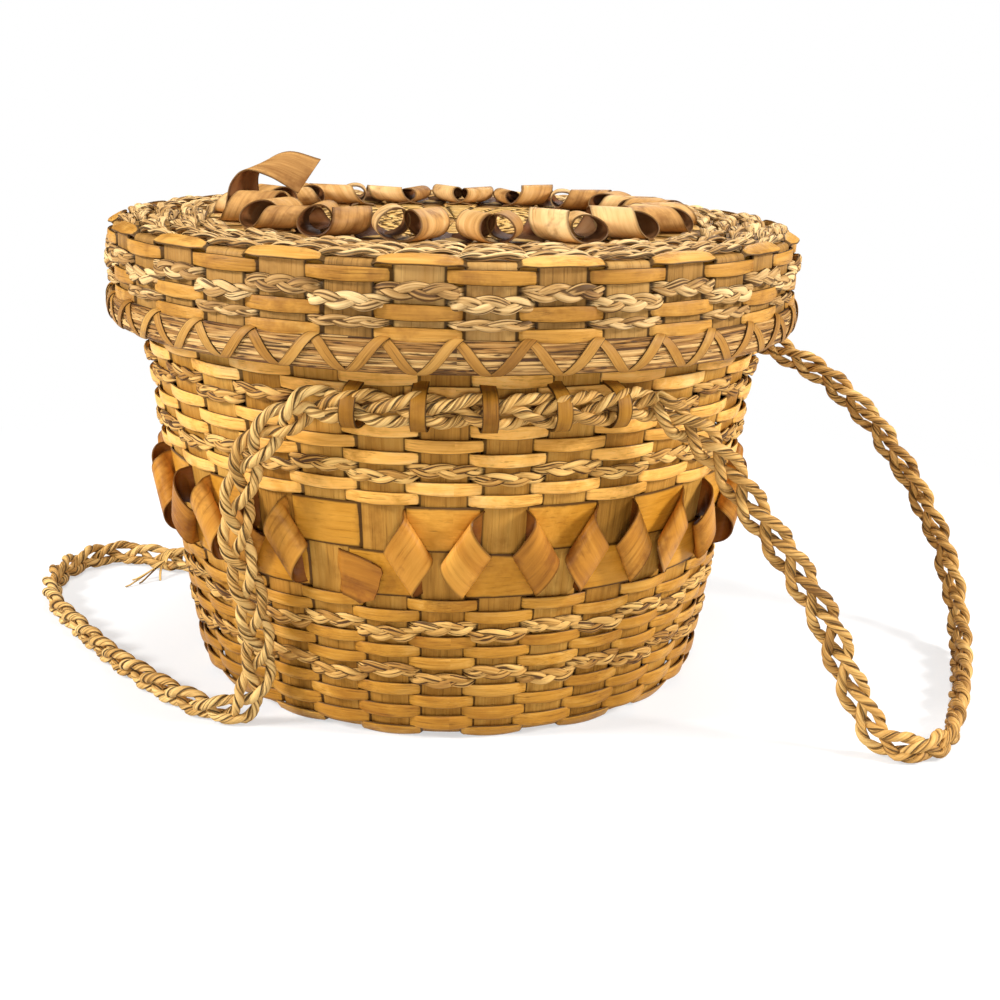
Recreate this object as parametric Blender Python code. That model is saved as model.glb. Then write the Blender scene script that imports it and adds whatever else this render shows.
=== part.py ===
"""A round covered basket of ash splints and braided sweetgrass, with curled splint decoration.

The basket stands on z = 0, its axis is Z, and its front is towards -Y. Lengths are metres.
The wall is a comb of upright splints. Every ring lies against it or against its neighbour.
"""
import math

import bmesh
import bpy
import numpy as np

# Clearance between two pieces that touch
GAP = 0.0003
SMOOTH_BELOW = math.radians(30)

# Splints of the body: they cross under the bottom and stand up round the wall
BODY_STAKES = 34
BODY_TURN = math.radians(-1.6)
STAKE_WIDTH = 0.016
STAKE_THICKNESS = 0.0008
BASE_SPLINT_WIDTH = 0.0155
BASE_CROSSING_RADIUS = 0.030
FOOT_RADIUS = 0.1015
FOOT_CORNER = 0.008
RIM_RADIUS = 0.1358
BODY_HEIGHT = 0.188

# Weavers that lie on the bottom, inside
BASE_WEAVER_THICKNESS = 0.0012
BASE_WEAVER_INNER = 0.034
BASE_WEAVER_SEAM = 0.067

# Rings of the body wall, in order from the foot up, as shares of its height
FOOT_COURSE_TOP = 0.1298 * BODY_HEIGHT
LOW_BRAID_WIDTH = 0.01862 * BODY_HEIGHT
LOW_COURSE_HEIGHT = 0.0622 * BODY_HEIGHT
UNDER_BRAID_WIDTH = 0.01702 * BODY_HEIGHT
UNDER_COURSE_HEIGHT = 0.05106 * BODY_HEIGHT
BAND_WIDTH = 0.0984 * BODY_HEIGHT
OVER_COURSE_HEIGHT = 0.05053 * BODY_HEIGHT
OVER_BRAID_WIDTH = 0.01436 * BODY_HEIGHT
HIGH_COURSE_HEIGHT = 0.0835 * BODY_HEIGHT
HIGH_BRAID_WIDTH = 0.02255 * BODY_HEIGHT
WEAVER_THICKNESS = 0.0013
BRAID_THICKNESS = 0.0030
RIM_HOOP_HEIGHT = 0.0098
RIM_HOOP_THICKNESS = 0.0016

# Curled splint: it rolls over once in each gap between two stakes
CURL_STRIP_WIDTH = 0.92 * BAND_WIDTH
CURL_THICKNESS = 0.0007
CURL_STEPS = 8
CURL_DROP = 1.02
BODY_CURL_WIDTH = 0.0132
BODY_CURL_DEPTH = 0.0072
TORN_CURL = 32
TORN_END_REACH = 0.014
TORN_END_LIFT = 0.004

# Carrying braid and the splint loops that hold it
HANDLE_WIDTH = 0.0160
HANDLE_THICKNESS = 0.0090
HANDLE_CORD_RADIUS = 0.0056
RUN_START = math.radians(-19.5)
RUN_END = math.radians(29.0)
RUN_STEPS = 9
RUN_SIDES = 8
LOOP_WIDTH = 0.0058
LOOP_THICKNESS = 0.0008
LOOP_FOOT = 0.0030
LOOP_ANGLES = [math.radians(a) for a in (-15.5, -5.3, 4.9, 15.6, 25.0)]
BIGHT_POINTS = 30
BIGHT_LEAD = 0.006

# Splints of the lid: they cross in the middle of its top and turn down round its side
LID_STAKES = 36
LID_TURN = math.radians(-1.9)
LID_SKEW = math.radians(-3.4)
LID_SPLINT_THICKNESS = 0.0009
LID_SPLINT_WIDTH = 0.0190
LID_CROSSING_RADIUS = 0.030
LID_ROOM = 0.0062
LID_RADIUS = RIM_RADIUS + LID_ROOM
LID_SIDE_HEIGHT = 0.2021 * BODY_HEIGHT
LID_CORNER_HEIGHT = 0.08 * LID_SIDE_HEIGHT

# Rings of the lid's top, from its middle out
LID_WEAVER_THICKNESS = 0.0012
LID_BRAID_THICKNESS = 0.0028
LID_MIDDLE_INNER = 0.012
LID_MIDDLE_OUTER = 0.4732 * LID_RADIUS
LID_BAND_WIDTH = 0.1275 * LID_RADIUS
LID_BRAID_ROWS = 6
LID_TOP_INSET = 0.0025
LID_CURL_WIDTH = 0.0100
LID_CURL_DEPTH = 0.0105
LID_STRIP_WIDTH = 0.0150
OPEN_CURL = 28

# The curl that has sprung open, from its free end down to the lid: its two edges, each from
# the middle of that gap on the lid's face, as across to the right, to the back and up
OPEN_CURL_EDGES = [
    ((0.0195, -0.0095, 0.0117), (0.0284, -0.0045, 0.0252)),
    ((0.0077, -0.0085, 0.0173), (0.0232, -0.0035, 0.0280)),
    ((-0.0028, -0.0075, 0.0203), (0.0159, -0.0025, 0.0287)),
    ((-0.0081, -0.0095, 0.0150), (0.0037, 0.0010, 0.0210)),
    ((-0.0103, -0.0115, 0.0070), (-0.0013, 0.0025, 0.0090)),
    ((-0.0110, -0.0135, 0.0022), (-0.0003, 0.0002, 0.0022)),
]

# Rings of the lid's side, in order from the rim up, as shares of its height
RIM_BUNDLE_HEIGHT = 0.3053 * LID_SIDE_HEIGHT
RIM_BUNDLE_THICKNESS = 0.0050
RIM_BUNDLE_ROUND = 0.0017
LID_HOOP_THICKNESS = 0.0014
LASHING_WIDTH = 0.0052
LASHING_THICKNESS = 0.0007
LID_LOW_ROW_HEIGHT = 0.0895 * LID_SIDE_HEIGHT
LID_THIN_BRAID_WIDTH = 0.0737 * LID_SIDE_HEIGHT
LID_MIDDLE_ROW_HEIGHT = 0.1 * LID_SIDE_HEIGHT
LID_BRAID_WIDTH = 0.1 * LID_SIDE_HEIGHT
LID_HIGH_ROW_HEIGHT = 0.1158 * LID_SIDE_HEIGHT

# Routes of the two bights, by hand: the braid sags to the floor, lies on it and comes back.
# They are drawn for a braid whose flat runs are at this height, and follow it up and down.
DRAWN_RUN_HEIGHT = 0.1373
LEFT_BIGHT = [
    (-0.0560, -0.1290, 0.1340), (-0.0650, -0.1240, 0.1270), (-0.0730, -0.1200, 0.1170),
    (-0.0775, -0.1165, 0.1040), (-0.0800, -0.1140, 0.0900), (-0.0800, -0.1115, 0.0760),
    (-0.0775, -0.1080, 0.0620), (-0.0755, -0.1040, 0.0460), (-0.0745, -0.1000, 0.0310),
    (-0.0765, -0.0985, 0.0170), (-0.0820, -0.0985, 0.0085), (-0.0930, -0.0960, 0.0064),
    (-0.1060, -0.0870, 0.0064), (-0.1220, -0.0700, 0.0064), (-0.1430, -0.0440, 0.0064),
    (-0.1660, -0.0090, 0.0064), (-0.1850, 0.0230, 0.0064), (-0.1930, 0.0510, 0.0064),
    (-0.1920, 0.0740, 0.0064), (-0.1820, 0.0930, 0.0064), (-0.1660, 0.0985, 0.0064),
    (-0.1490, 0.0920, 0.0064), (-0.1330, 0.0870, 0.0068), (-0.1190, 0.0900, 0.0085),
    (-0.1060, 0.0985, 0.0140), (-0.0960, 0.1090, 0.0260), (-0.0890, 0.1180, 0.0440),
    (-0.0840, 0.1230, 0.0650), (-0.0800, 0.1245, 0.0880), (-0.0755, 0.1250, 0.1100),
    (-0.0700, 0.1255, 0.1260),
]
RIGHT_BIGHT = [
    (0.0750, -0.1210, 0.1350), (0.0870, -0.1170, 0.1270), (0.0990, -0.1140, 0.1150),
    (0.1110, -0.1120, 0.0980), (0.1260, -0.1120, 0.0780), (0.1400, -0.1130, 0.0580),
    (0.1500, -0.1150, 0.0380), (0.1580, -0.1170, 0.0200), (0.1650, -0.1210, 0.0100),
    (0.1730, -0.1260, 0.0068), (0.1830, -0.1270, 0.0064), (0.1940, -0.1170, 0.0064),
    (0.2050, -0.0960, 0.0064), (0.2160, -0.0680, 0.0064), (0.2270, -0.0370, 0.0075),
    (0.2350, -0.0080, 0.0120), (0.2370, 0.0140, 0.0270), (0.2330, 0.0290, 0.0450),
    (0.2240, 0.0430, 0.0650), (0.2100, 0.0540, 0.0860), (0.1930, 0.0620, 0.1040),
    (0.1750, 0.0690, 0.1170), (0.1550, 0.0790, 0.1260), (0.1330, 0.0930, 0.1320),
    (0.1100, 0.1060, 0.1355), (0.0900, 0.1145, 0.1370),
]

ASH_WEAVER = ("ash_weaver", (0.60, 0.36, 0.11), 0.5)
ASH_STAKE = ("ash_stake", (0.46, 0.31, 0.13), 0.6)
ASH_CURL = ("ash_curl", (0.50, 0.24, 0.08), 0.4)
SWEETGRASS = ("sweetgrass", (0.62, 0.47, 0.24), 0.7)
BRAIDED_CORD = ("braided_cord", (0.60, 0.42, 0.19), 0.7)
RIM_GRASS = ("rim_grass", (0.62, 0.46, 0.22), 0.7)


def get_material(look):
    name, color, roughness = look
    material = bpy.data.materials.get(name)
    if material is None:
        material = bpy.data.materials.new(name)
        material.use_nodes = True
        shader = material.node_tree.nodes["Principled BSDF"]
        shader.inputs["Base Color"].default_value = (*color, 1.0)
        shader.inputs["Roughness"].default_value = roughness
        shader.inputs["Metallic"].default_value = 0.0
    return material


def add_object(name, solid, look):
    """One named object from a solid, which is a pair of vertex and face lists."""
    vertices, faces = solid
    mesh = bpy.data.meshes.new(name)
    mesh.from_pydata([tuple(v) for v in vertices], [], faces)
    work = bmesh.new()
    work.from_mesh(mesh)
    bmesh.ops.recalc_face_normals(work, faces=work.faces)
    if work.calc_volume(signed=True) < 0:
        bmesh.ops.reverse_faces(work, faces=work.faces)
    work.to_mesh(mesh)
    work.free()
    mesh.shade_smooth()
    mesh.set_sharp_from_angle(angle=SMOOTH_BELOW)
    mesh.materials.append(get_material(look))
    piece = bpy.data.objects.new(name, mesh)
    bpy.context.scene.collection.objects.link(piece)
    return piece


def around(radius, angle, z):
    """A point at an angle from the front, counted towards +X."""
    return np.array([radius * math.sin(angle), -radius * math.cos(angle), z])


def sideways(angle):
    """The level direction to the right of someone who faces the basket at an angle."""
    return np.array([math.cos(angle), math.sin(angle), 0.0])


def swept_solid(stations):
    """A closed solid whose outline is carried along a row of stations."""
    count = len(stations[0])
    vertices = [point for station in stations for point in station]
    faces = [list(range(count)), list(range(len(vertices) - count, len(vertices)))]
    for i in range(len(stations) - 1):
        for j in range(count):
            a = i * count + j
            b = i * count + (j + 1) % count
            faces.append([a, b, b + count, a + count])
    return vertices, faces


def closed_sweep(stations):
    """A closed band whose outline is carried round a loop of stations."""
    count = len(stations[0])
    vertices = [point for station in stations for point in station]
    faces = []
    for i in range(len(stations)):
        n = (i + 1) % len(stations)
        for j in range(count):
            k = (j + 1) % count
            faces.append([i * count + j, i * count + k, n * count + k, n * count + j])
    return vertices, faces


def ring(profile, sides, turn):
    """A closed ring whose flat sides face the splints, from an outline of (apothem, z)."""
    stretch = 1 / math.cos(math.pi / sides)
    angles = [turn + math.tau * (i + 0.5) / sides for i in range(sides)]
    return closed_sweep([[around(r * stretch, a, z) for r, z in profile] for a in angles])


def offset_line(line, distance):
    """A line of (r, z) points moved to its outer side, which is on its right going up."""
    moved = []
    for i, point in enumerate(line):
        before = np.subtract(point, line[max(i - 1, 0)])
        after = np.subtract(line[min(i + 1, len(line) - 1)], point)
        normals = [np.array([d[1], -d[0]]) / np.hypot(*d) for d in (before, after) if np.hypot(*d) > 0]
        middle = sum(normals) / len(normals)
        moved.append(np.array(point) + middle * distance / np.dot(middle, middle))
    return moved


def star(crossing_radius, reach, width, bottom, top, count, turn, skew=0.0):
    """Flat splints that cross in the middle and narrow towards it. Their ends are off by the skew."""
    outline = []
    for i in range(count):
        angle = turn + math.tau * i / count
        end = around(reach, angle + skew, 0.0)
        half = sideways(angle + skew) * width / 2
        outline += [around(crossing_radius, angle - math.pi / count, 0.0), end - half, end + half]
    return swept_solid([[point + np.array([0.0, 0.0, z]) for point in outline] for z in (bottom, top)])


def comb(line, widths, thickness, count, turn, joined_row):
    """Flat splints side by side that follow the (r, z) line of their outer face.

    They are one body, joined across their gaps along one row of the line.
    """
    inner = offset_line(line, -thickness)
    rows = len(line)
    vertices = []
    for i in range(count):
        angle = turn + math.tau * i / count
        for side in (-1, 1):
            for face_line in (line, inner):
                for (r, z), width in zip(face_line, widths):
                    vertices.append(around(r, angle, z) + sideways(angle) * side * width / 2)

    def at(stake, side, layer, row):
        return (((stake % count) * 2 + side) * 2 + layer) * rows + row

    faces = []
    for i in range(count):
        for row in (0, rows - 1):
            faces.append([at(i, 0, 0, row), at(i, 1, 0, row), at(i, 1, 1, row), at(i, 0, 1, row)])
        for row in range(rows - 1):
            for layer in (0, 1):
                faces.append([at(i, 0, layer, row), at(i, 1, layer, row),
                              at(i, 1, layer, row + 1), at(i, 0, layer, row + 1)])
                if row == joined_row:
                    faces.append([at(i, 1, layer, row), at(i + 1, 0, layer, row),
                                  at(i + 1, 0, layer, row + 1), at(i, 1, layer, row + 1)])
            if row == joined_row:
                for edge in (row, row + 1):
                    faces.append([at(i, 1, 0, edge), at(i + 1, 0, 0, edge),
                                  at(i + 1, 0, 1, edge), at(i, 1, 1, edge)])
            else:
                for side in (0, 1):
                    faces.append([at(i, side, 0, row), at(i, side, 0, row + 1),
                                  at(i, side, 1, row + 1), at(i, side, 1, row)])
    return vertices, faces


def ribbon(edges, thickness):
    """A thin strip through pairs of edge points, with its thickness on the side of the wall."""
    middles = [(np.array(a) + np.array(b)) / 2 for a, b in edges]
    stations = []
    for i, (low, high) in enumerate(edges):
        along = middles[min(i + 1, len(edges) - 1)] - middles[max(i - 1, 0)]
        inward = np.cross(np.subtract(high, low), along)
        inward = inward / np.linalg.norm(inward) * thickness
        stations.append([np.array(low), np.array(high), high + inward, low + inward])
    return swept_solid(stations)


def stack(bottom, heights):
    """Pairs of bottom and top for rings piled with a gap between them."""
    levels = []
    for height in heights:
        levels.append((bottom, bottom + height))
        bottom += height + GAP
    return levels


def wall_lean():
    """The angle of the wall from upright, tangent to the foot's corner and through the rim."""
    run = RIM_RADIUS - FOOT_RADIUS
    rise = BODY_HEIGHT - FOOT_CORNER
    return math.atan2(run, rise) - math.asin(FOOT_CORNER / math.hypot(run, rise))


def wall_radius(z):
    """The outer face of the body stakes at a height above the foot's corner."""
    return RIM_RADIUS - (BODY_HEIGHT - z) * math.tan(wall_lean())


def stake_line():
    """The outer face of a body stake: a round foot, then a straight flare to the rim."""
    end = wall_lean()
    arc = [-math.pi / 2 * (1 - t) - end * t for t in (0.0, 0.5, 1.0)]
    foot = [(FOOT_RADIUS + FOOT_CORNER * math.cos(a), FOOT_CORNER * (1 + math.sin(a))) for a in arc]
    return foot + [(RIM_RADIUS, BODY_HEIGHT)]


def wall_ring(bottom, top, thickness, start=GAP):
    """A ring round the body wall between two heights."""
    line = [(wall_radius(bottom), bottom), (wall_radius(top), top)]
    inner = [(r, z) for (r, _), z in zip(offset_line(line, start), (bottom, top))]
    outer = [(r, z) for (r, _), z in zip(offset_line(line, start + thickness), (bottom, top))]
    return ring(inner + outer[::-1], BODY_STAKES, BODY_TURN)


def wall_rows():
    """Each ring above the foot course as (name, bottom, top, thickness, look), from the foot up."""
    rows = [
        ("sweetgrass_low_1", LOW_BRAID_WIDTH, BRAID_THICKNESS, SWEETGRASS),
        ("sweetgrass_low_2", LOW_BRAID_WIDTH, BRAID_THICKNESS, SWEETGRASS),
        ("ash_course_low", LOW_COURSE_HEIGHT, WEAVER_THICKNESS, ASH_WEAVER),
        ("sweetgrass_below_bands_1", UNDER_BRAID_WIDTH, BRAID_THICKNESS, SWEETGRASS),
        ("sweetgrass_below_bands_2", UNDER_BRAID_WIDTH, BRAID_THICKNESS, SWEETGRASS),
        ("ash_course_below_bands", UNDER_COURSE_HEIGHT, WEAVER_THICKNESS, ASH_WEAVER),
        ("wide_band_lower", BAND_WIDTH, WEAVER_THICKNESS, ASH_WEAVER),
        ("wide_band_upper", BAND_WIDTH, WEAVER_THICKNESS, ASH_WEAVER),
        ("ash_course_above_bands", OVER_COURSE_HEIGHT, WEAVER_THICKNESS, ASH_WEAVER),
        ("sweetgrass_above_bands_1", OVER_BRAID_WIDTH, BRAID_THICKNESS, SWEETGRASS),
        ("sweetgrass_above_bands_2", OVER_BRAID_WIDTH, BRAID_THICKNESS, SWEETGRASS),
        ("ash_course_high", HIGH_COURSE_HEIGHT, WEAVER_THICKNESS, ASH_WEAVER),
        ("sweetgrass_high_1", HIGH_BRAID_WIDTH, BRAID_THICKNESS, SWEETGRASS),
        ("sweetgrass_high_2", HIGH_BRAID_WIDTH, BRAID_THICKNESS, SWEETGRASS),
    ]
    levels = stack(FOOT_COURSE_TOP + GAP, [row[1] for row in rows])
    return [(name, low, high, thickness, look)
            for (name, _, thickness, look), (low, high) in zip(rows, levels)]


def wall_level(name):
    """Bottom and top of one ring of the wall."""
    return next((low, high) for row, low, high, _, _ in wall_rows() if row == name)


def add_bottom():
    splints = star(BASE_CROSSING_RADIUS, FOOT_RADIUS - GAP, BASE_SPLINT_WIDTH, 0.0, STAKE_THICKNESS,
                   BODY_STAKES, BODY_TURN)
    add_object("base_splints", splints, ASH_STAKE)
    bottom = STAKE_THICKNESS + GAP
    top = bottom + BASE_WEAVER_THICKNESS
    outer_edge = FOOT_RADIUS - STAKE_THICKNESS - GAP
    for name, low, high in (("base_weaver_inner", BASE_WEAVER_INNER, BASE_WEAVER_SEAM),
                            ("base_weaver_outer", BASE_WEAVER_SEAM + GAP, outer_edge)):
        profile = [(low, bottom), (low, top), (high, top), (high, bottom)]
        add_object(name, ring(profile, BODY_STAKES, BODY_TURN), ASH_WEAVER)


def add_wall():
    line = stake_line()
    widths = [BASE_SPLINT_WIDTH] + [STAKE_WIDTH] * (len(line) - 1)
    stakes = comb(line, widths, STAKE_THICKNESS, BODY_STAKES, BODY_TURN, 0)
    add_object("wall_stakes", stakes, ASH_STAKE)

    foot = line[1:3] + [(wall_radius(FOOT_COURSE_TOP), FOOT_COURSE_TOP)]
    inner = offset_line(foot, GAP)
    outer = offset_line(foot, GAP + WEAVER_THICKNESS)
    inner[-1][1] = FOOT_COURSE_TOP
    outer[-1][1] = FOOT_COURSE_TOP
    add_object("ash_course_foot", ring(inner + outer[::-1], BODY_STAKES, BODY_TURN), ASH_WEAVER)

    rows = wall_rows()
    for name, low, high, thickness, look in rows:
        add_object(name, wall_ring(low, high, thickness), look)
    collar_bottom = rows[-1][2] + GAP
    collar_top = BODY_HEIGHT - RIM_HOOP_HEIGHT - GAP
    add_object("ash_course_collar", wall_ring(collar_bottom, collar_top, WEAVER_THICKNESS), ASH_WEAVER)


def add_body_rim():
    bottom = BODY_HEIGHT - RIM_HOOP_HEIGHT
    add_object("rim_hoop_outer", wall_ring(bottom, BODY_HEIGHT, RIM_HOOP_THICKNESS), ASH_WEAVER)
    inner_face = -STAKE_THICKNESS - GAP - RIM_HOOP_THICKNESS
    add_object("rim_hoop_inner", wall_ring(bottom, BODY_HEIGHT, RIM_HOOP_THICKNESS, inner_face), ASH_WEAVER)


def curl_edges(origin, right, up, out, width, depth, strip, reach):
    """The two edges of a strip that comes in level, rolls over once and leaves one drop lower.

    origin is the middle of the roll on the wall. The roll is an oval tilted by the drop, and
    the strip stays within its reach to either side where it lies flat.
    """
    drop = CURL_DROP * strip
    turns = [math.tau * i / CURL_STEPS for i in range(CURL_STEPS + 1)]
    outline = [(math.sin(t) * width / 2, (1 - math.cos(t)) * depth / 2) for t in turns]
    girth = sum(math.dist(a, b) for a, b in zip(outline, outline[1:]))
    lean = math.asin(drop / girth)
    margin = (drop - strip) / 2
    edges = []
    length = 0.0
    for i, (s, n) in enumerate(outline):
        if i > 0:
            length += math.dist(outline[i - 1], (s, n))
        pair = []
        for height in (margin, drop - margin):
            along = (length * math.sin(lean) - height) / math.cos(lean)
            aside = s * math.cos(lean) + along * math.sin(lean)
            rise = s * math.sin(lean) - along * math.cos(lean)
            if i in (0, CURL_STEPS):
                aside = min(max(aside, -reach), reach)
            pair.append(origin + right * aside + up * rise + out * (n + CURL_THICKNESS))
        edges.append(pair)
    return edges


def rising_curl_edges(origin, right, up, out, width, depth, strip, reach):
    """The mirror image of curl_edges, followed from its low end to its high end."""
    return curl_edges(origin, -right, up, out, width, depth, strip, reach)[::-1]


def wall_axes(angle):
    """Right, up and out at an angle on the leaning wall."""
    radial = around(1.0, angle, 0.0)
    lean = wall_lean()
    up = radial * math.sin(lean) + np.array([0.0, 0.0, math.cos(lean)])
    out = radial * math.cos(lean) - np.array([0.0, 0.0, math.sin(lean)])
    return sideways(angle), up, out


def band_face(z):
    """The radius of what lies on the wide bands, in the middle of a stake."""
    return wall_radius(z) + (GAP + WEAVER_THICKNESS + GAP) / math.cos(wall_lean())


def strip_on_stake(angle, z, shift, lift):
    """The two edges of the curled strip where it lies flat over a stake of the wall."""
    right, up, out = wall_axes(angle)
    middle = around(band_face(z), angle, z) + right * shift + out * (CURL_THICKNESS + lift)
    return [middle - up * CURL_STRIP_WIDTH / 2, middle + up * CURL_STRIP_WIDTH / 2]


def add_body_curls():
    """One strip round the two wide bands. It starts over a stake and ends torn, one gap short."""
    pitch = math.tau / BODY_STAKES
    lower = wall_level("wide_band_lower")
    upper = wall_level("wide_band_upper")
    seam = (lower[1] + upper[0]) / 2
    off_seam = CURL_DROP * CURL_STRIP_WIDTH / 2 * math.cos(wall_lean())
    radius = band_face(seam) / math.cos(math.pi / BODY_STAKES)
    reach = radius * math.sin(pitch / 2) - GAP
    first = TORN_CURL + 1
    upper_middle = seam + off_seam
    edges = [strip_on_stake(BODY_TURN + pitch * first, upper_middle, -STAKE_WIDTH / 2, 0.0)]
    for i in range(first, first + BODY_STAKES - 1):
        angle = BODY_TURN + pitch * (i + 0.5)
        roll = curl_edges if i % 2 == 1 else rising_curl_edges
        edges += roll(around(radius, angle, seam), *wall_axes(angle), BODY_CURL_WIDTH, BODY_CURL_DEPTH,
                      CURL_STRIP_WIDTH, reach)
    last = BODY_TURN + pitch * TORN_CURL
    lower_middle = seam - off_seam
    edges.append(strip_on_stake(last, lower_middle, 0.0, 0.0))
    edges.append(strip_on_stake(last, lower_middle, TORN_END_REACH / 2, TORN_END_LIFT / 4))
    edges.append(strip_on_stake(last, lower_middle, TORN_END_REACH, TORN_END_LIFT))
    add_object("body_curl_strip", ribbon(edges, CURL_THICKNESS), ASH_CURL)


def handle_seat():
    """The radius of the inner face of the carrying braid, on the braids of the wall."""
    top = wall_level("sweetgrass_high_2")[1]
    return (wall_radius(top) + 2 * GAP + BRAID_THICKNESS) / math.cos(math.pi / BODY_STAKES)


def handle_height():
    """The carrying braid lies over the upper of the two high braids."""
    return sum(wall_level("sweetgrass_high_2")) / 2


def back_turn():
    """What turns the front run of the carrying braid to its mirror place at the back."""
    return math.pi - RUN_START - RUN_END


def add_handle_run(name, turn):
    """The stretch of the carrying braid that lies flat on the wall."""
    middle = handle_seat() + HANDLE_THICKNESS / 2
    height = handle_height()
    sides = [math.tau * (i + 0.5) / RUN_SIDES for i in range(RUN_SIDES)]
    stations = []
    for i in range(RUN_STEPS + 1):
        angle = turn + RUN_START + (RUN_END - RUN_START) * i / RUN_STEPS
        stations.append([around(middle + math.cos(a) * HANDLE_THICKNESS / 2, angle,
                                height + math.sin(a) * HANDLE_WIDTH / 2) for a in sides])
    add_object(name, swept_solid(stations), BRAIDED_CORD)


def add_handle_loops(name, turn):
    """Splint straps over the carrying braid, with both feet on the wall."""
    braid_out = handle_seat() + HANDLE_THICKNESS + GAP
    foot_low = wall_level("sweetgrass_high_1")[0] - LOOP_FOOT
    foot_high = handle_height() + HANDLE_WIDTH / 2 + LOOP_FOOT
    half_braid = HANDLE_WIDTH / 2 * math.cos(math.pi / RUN_SIDES)
    wall = GAP + WEAVER_THICKNESS + 2 * GAP
    line = [(wall_radius(foot_low) + wall, foot_low), (braid_out, handle_height() - half_braid),
            (braid_out, handle_height() + half_braid), (wall_radius(foot_high) + wall, foot_high)]
    outer = offset_line(line, LOOP_THICKNESS)
    for i, loop_angle in enumerate(LOOP_ANGLES):
        angle = turn + loop_angle
        half = sideways(angle) * LOOP_WIDTH / 2
        stations = []
        for (r, z), (ro, zo) in zip(line, outer):
            inner_point = around(r, angle, z)
            outer_point = around(ro, angle, zo)
            stations.append([inner_point - half, inner_point + half, outer_point + half, outer_point - half])
        add_object(f"{name}_{i + 1}", swept_solid(stations), ASH_STAKE)


def smooth_points(route, count):
    """Evenly spaced points on a smooth curve through the route."""
    route = [np.array(p) for p in route]
    padded = [2 * route[0] - route[1]] + route + [2 * route[-1] - route[-2]]
    fine = []
    steps = 12
    for i in range(len(route) - 1):
        p0, p1, p2, p3 = padded[i:i + 4]
        for k in range(steps):
            t = k / steps
            fine.append(0.5 * (2 * p1 + (p2 - p0) * t + (2 * p0 - 5 * p1 + 4 * p2 - p3) * t ** 2
                               + (3 * p1 - p0 - 3 * p2 + p3) * t ** 3))
    fine.append(route[-1])
    reach = [0.0]
    for a, b in zip(fine, fine[1:]):
        reach.append(reach[-1] + float(np.linalg.norm(b - a)))
    wanted = np.linspace(0.0, reach[-1], count)
    axes = [np.interp(wanted, reach, [p[k] for p in fine]) for k in range(3)]
    return [tuple(p) for p in zip(*axes)]


def add_bight(name, route, start, end, way):
    """A free stretch of the carrying braid between the ends of the two flat runs.

    way is the side of the start angle on which the bight leaves its run, -1 or 1.
    """
    radius = handle_seat() + HANDLE_CORD_RADIUS
    leads = []
    for angle, side in ((start, way), (end, -way)):
        leave = sideways(angle) * side
        leads.append([around(radius, angle, handle_height()) + leave * step for step in (GAP, BIGHT_LEAD)])
    lying = HANDLE_CORD_RADIUS + GAP
    stretch = (handle_height() - lying) / (DRAWN_RUN_HEIGHT - lying)
    route = [(x, y, lying + (z - lying) * stretch) for x, y, z in route]
    free = smooth_points([leads[0][1]] + route + [leads[1][1]], BIGHT_POINTS)
    points = [leads[0][0]] + free + [leads[1][0]]
    curve = bpy.data.curves.new(name, "CURVE")
    curve.dimensions = "3D"
    curve.bevel_depth = HANDLE_CORD_RADIUS
    curve.bevel_resolution = 2
    curve.use_fill_caps = True
    spline = curve.splines.new("POLY")
    spline.points.add(len(points) - 1)
    for point, place in zip(spline.points, points):
        point.co = (*place, 1.0)
    curve.materials.append(get_material(BRAIDED_CORD))
    bight = bpy.data.objects.new(name, curve)
    bpy.context.scene.collection.objects.link(bight)


def lid_underside():
    return BODY_HEIGHT + GAP


def lid_top_face():
    return lid_underside() + LID_SPLINT_THICKNESS


def lid_rim_bottom():
    return lid_top_face() - LID_SIDE_HEIGHT


def lid_side_ring(bottom, top, thickness):
    inner = LID_RADIUS + GAP
    outer = inner + thickness
    profile = [(inner, bottom), (outer, bottom), (outer, top), (inner, top)]
    return ring(profile, LID_STAKES, LID_TURN + LID_SKEW)


def lid_top_ring(inner, outer, thickness):
    bottom = lid_top_face() + GAP
    top = bottom + thickness
    return ring([(inner, bottom), (outer, bottom), (outer, top), (inner, top)], LID_STAKES, LID_TURN)


def add_lid_splints():
    corner = LID_RADIUS - LID_SPLINT_THICKNESS - GAP
    top = star(LID_CROSSING_RADIUS, corner, LID_SPLINT_WIDTH, lid_underside(), lid_top_face(),
               LID_STAKES, LID_TURN, LID_SKEW)
    add_object("lid_top_splints", top, ASH_STAKE)
    line = [(LID_RADIUS, z) for z in (lid_rim_bottom(), lid_top_face() - LID_CORNER_HEIGHT, lid_top_face())]
    side = comb(line, [LID_SPLINT_WIDTH] * len(line), LID_SPLINT_THICKNESS, LID_STAKES,
                LID_TURN + LID_SKEW, 1)
    add_object("lid_side_splints", side, ASH_STAKE)


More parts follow.
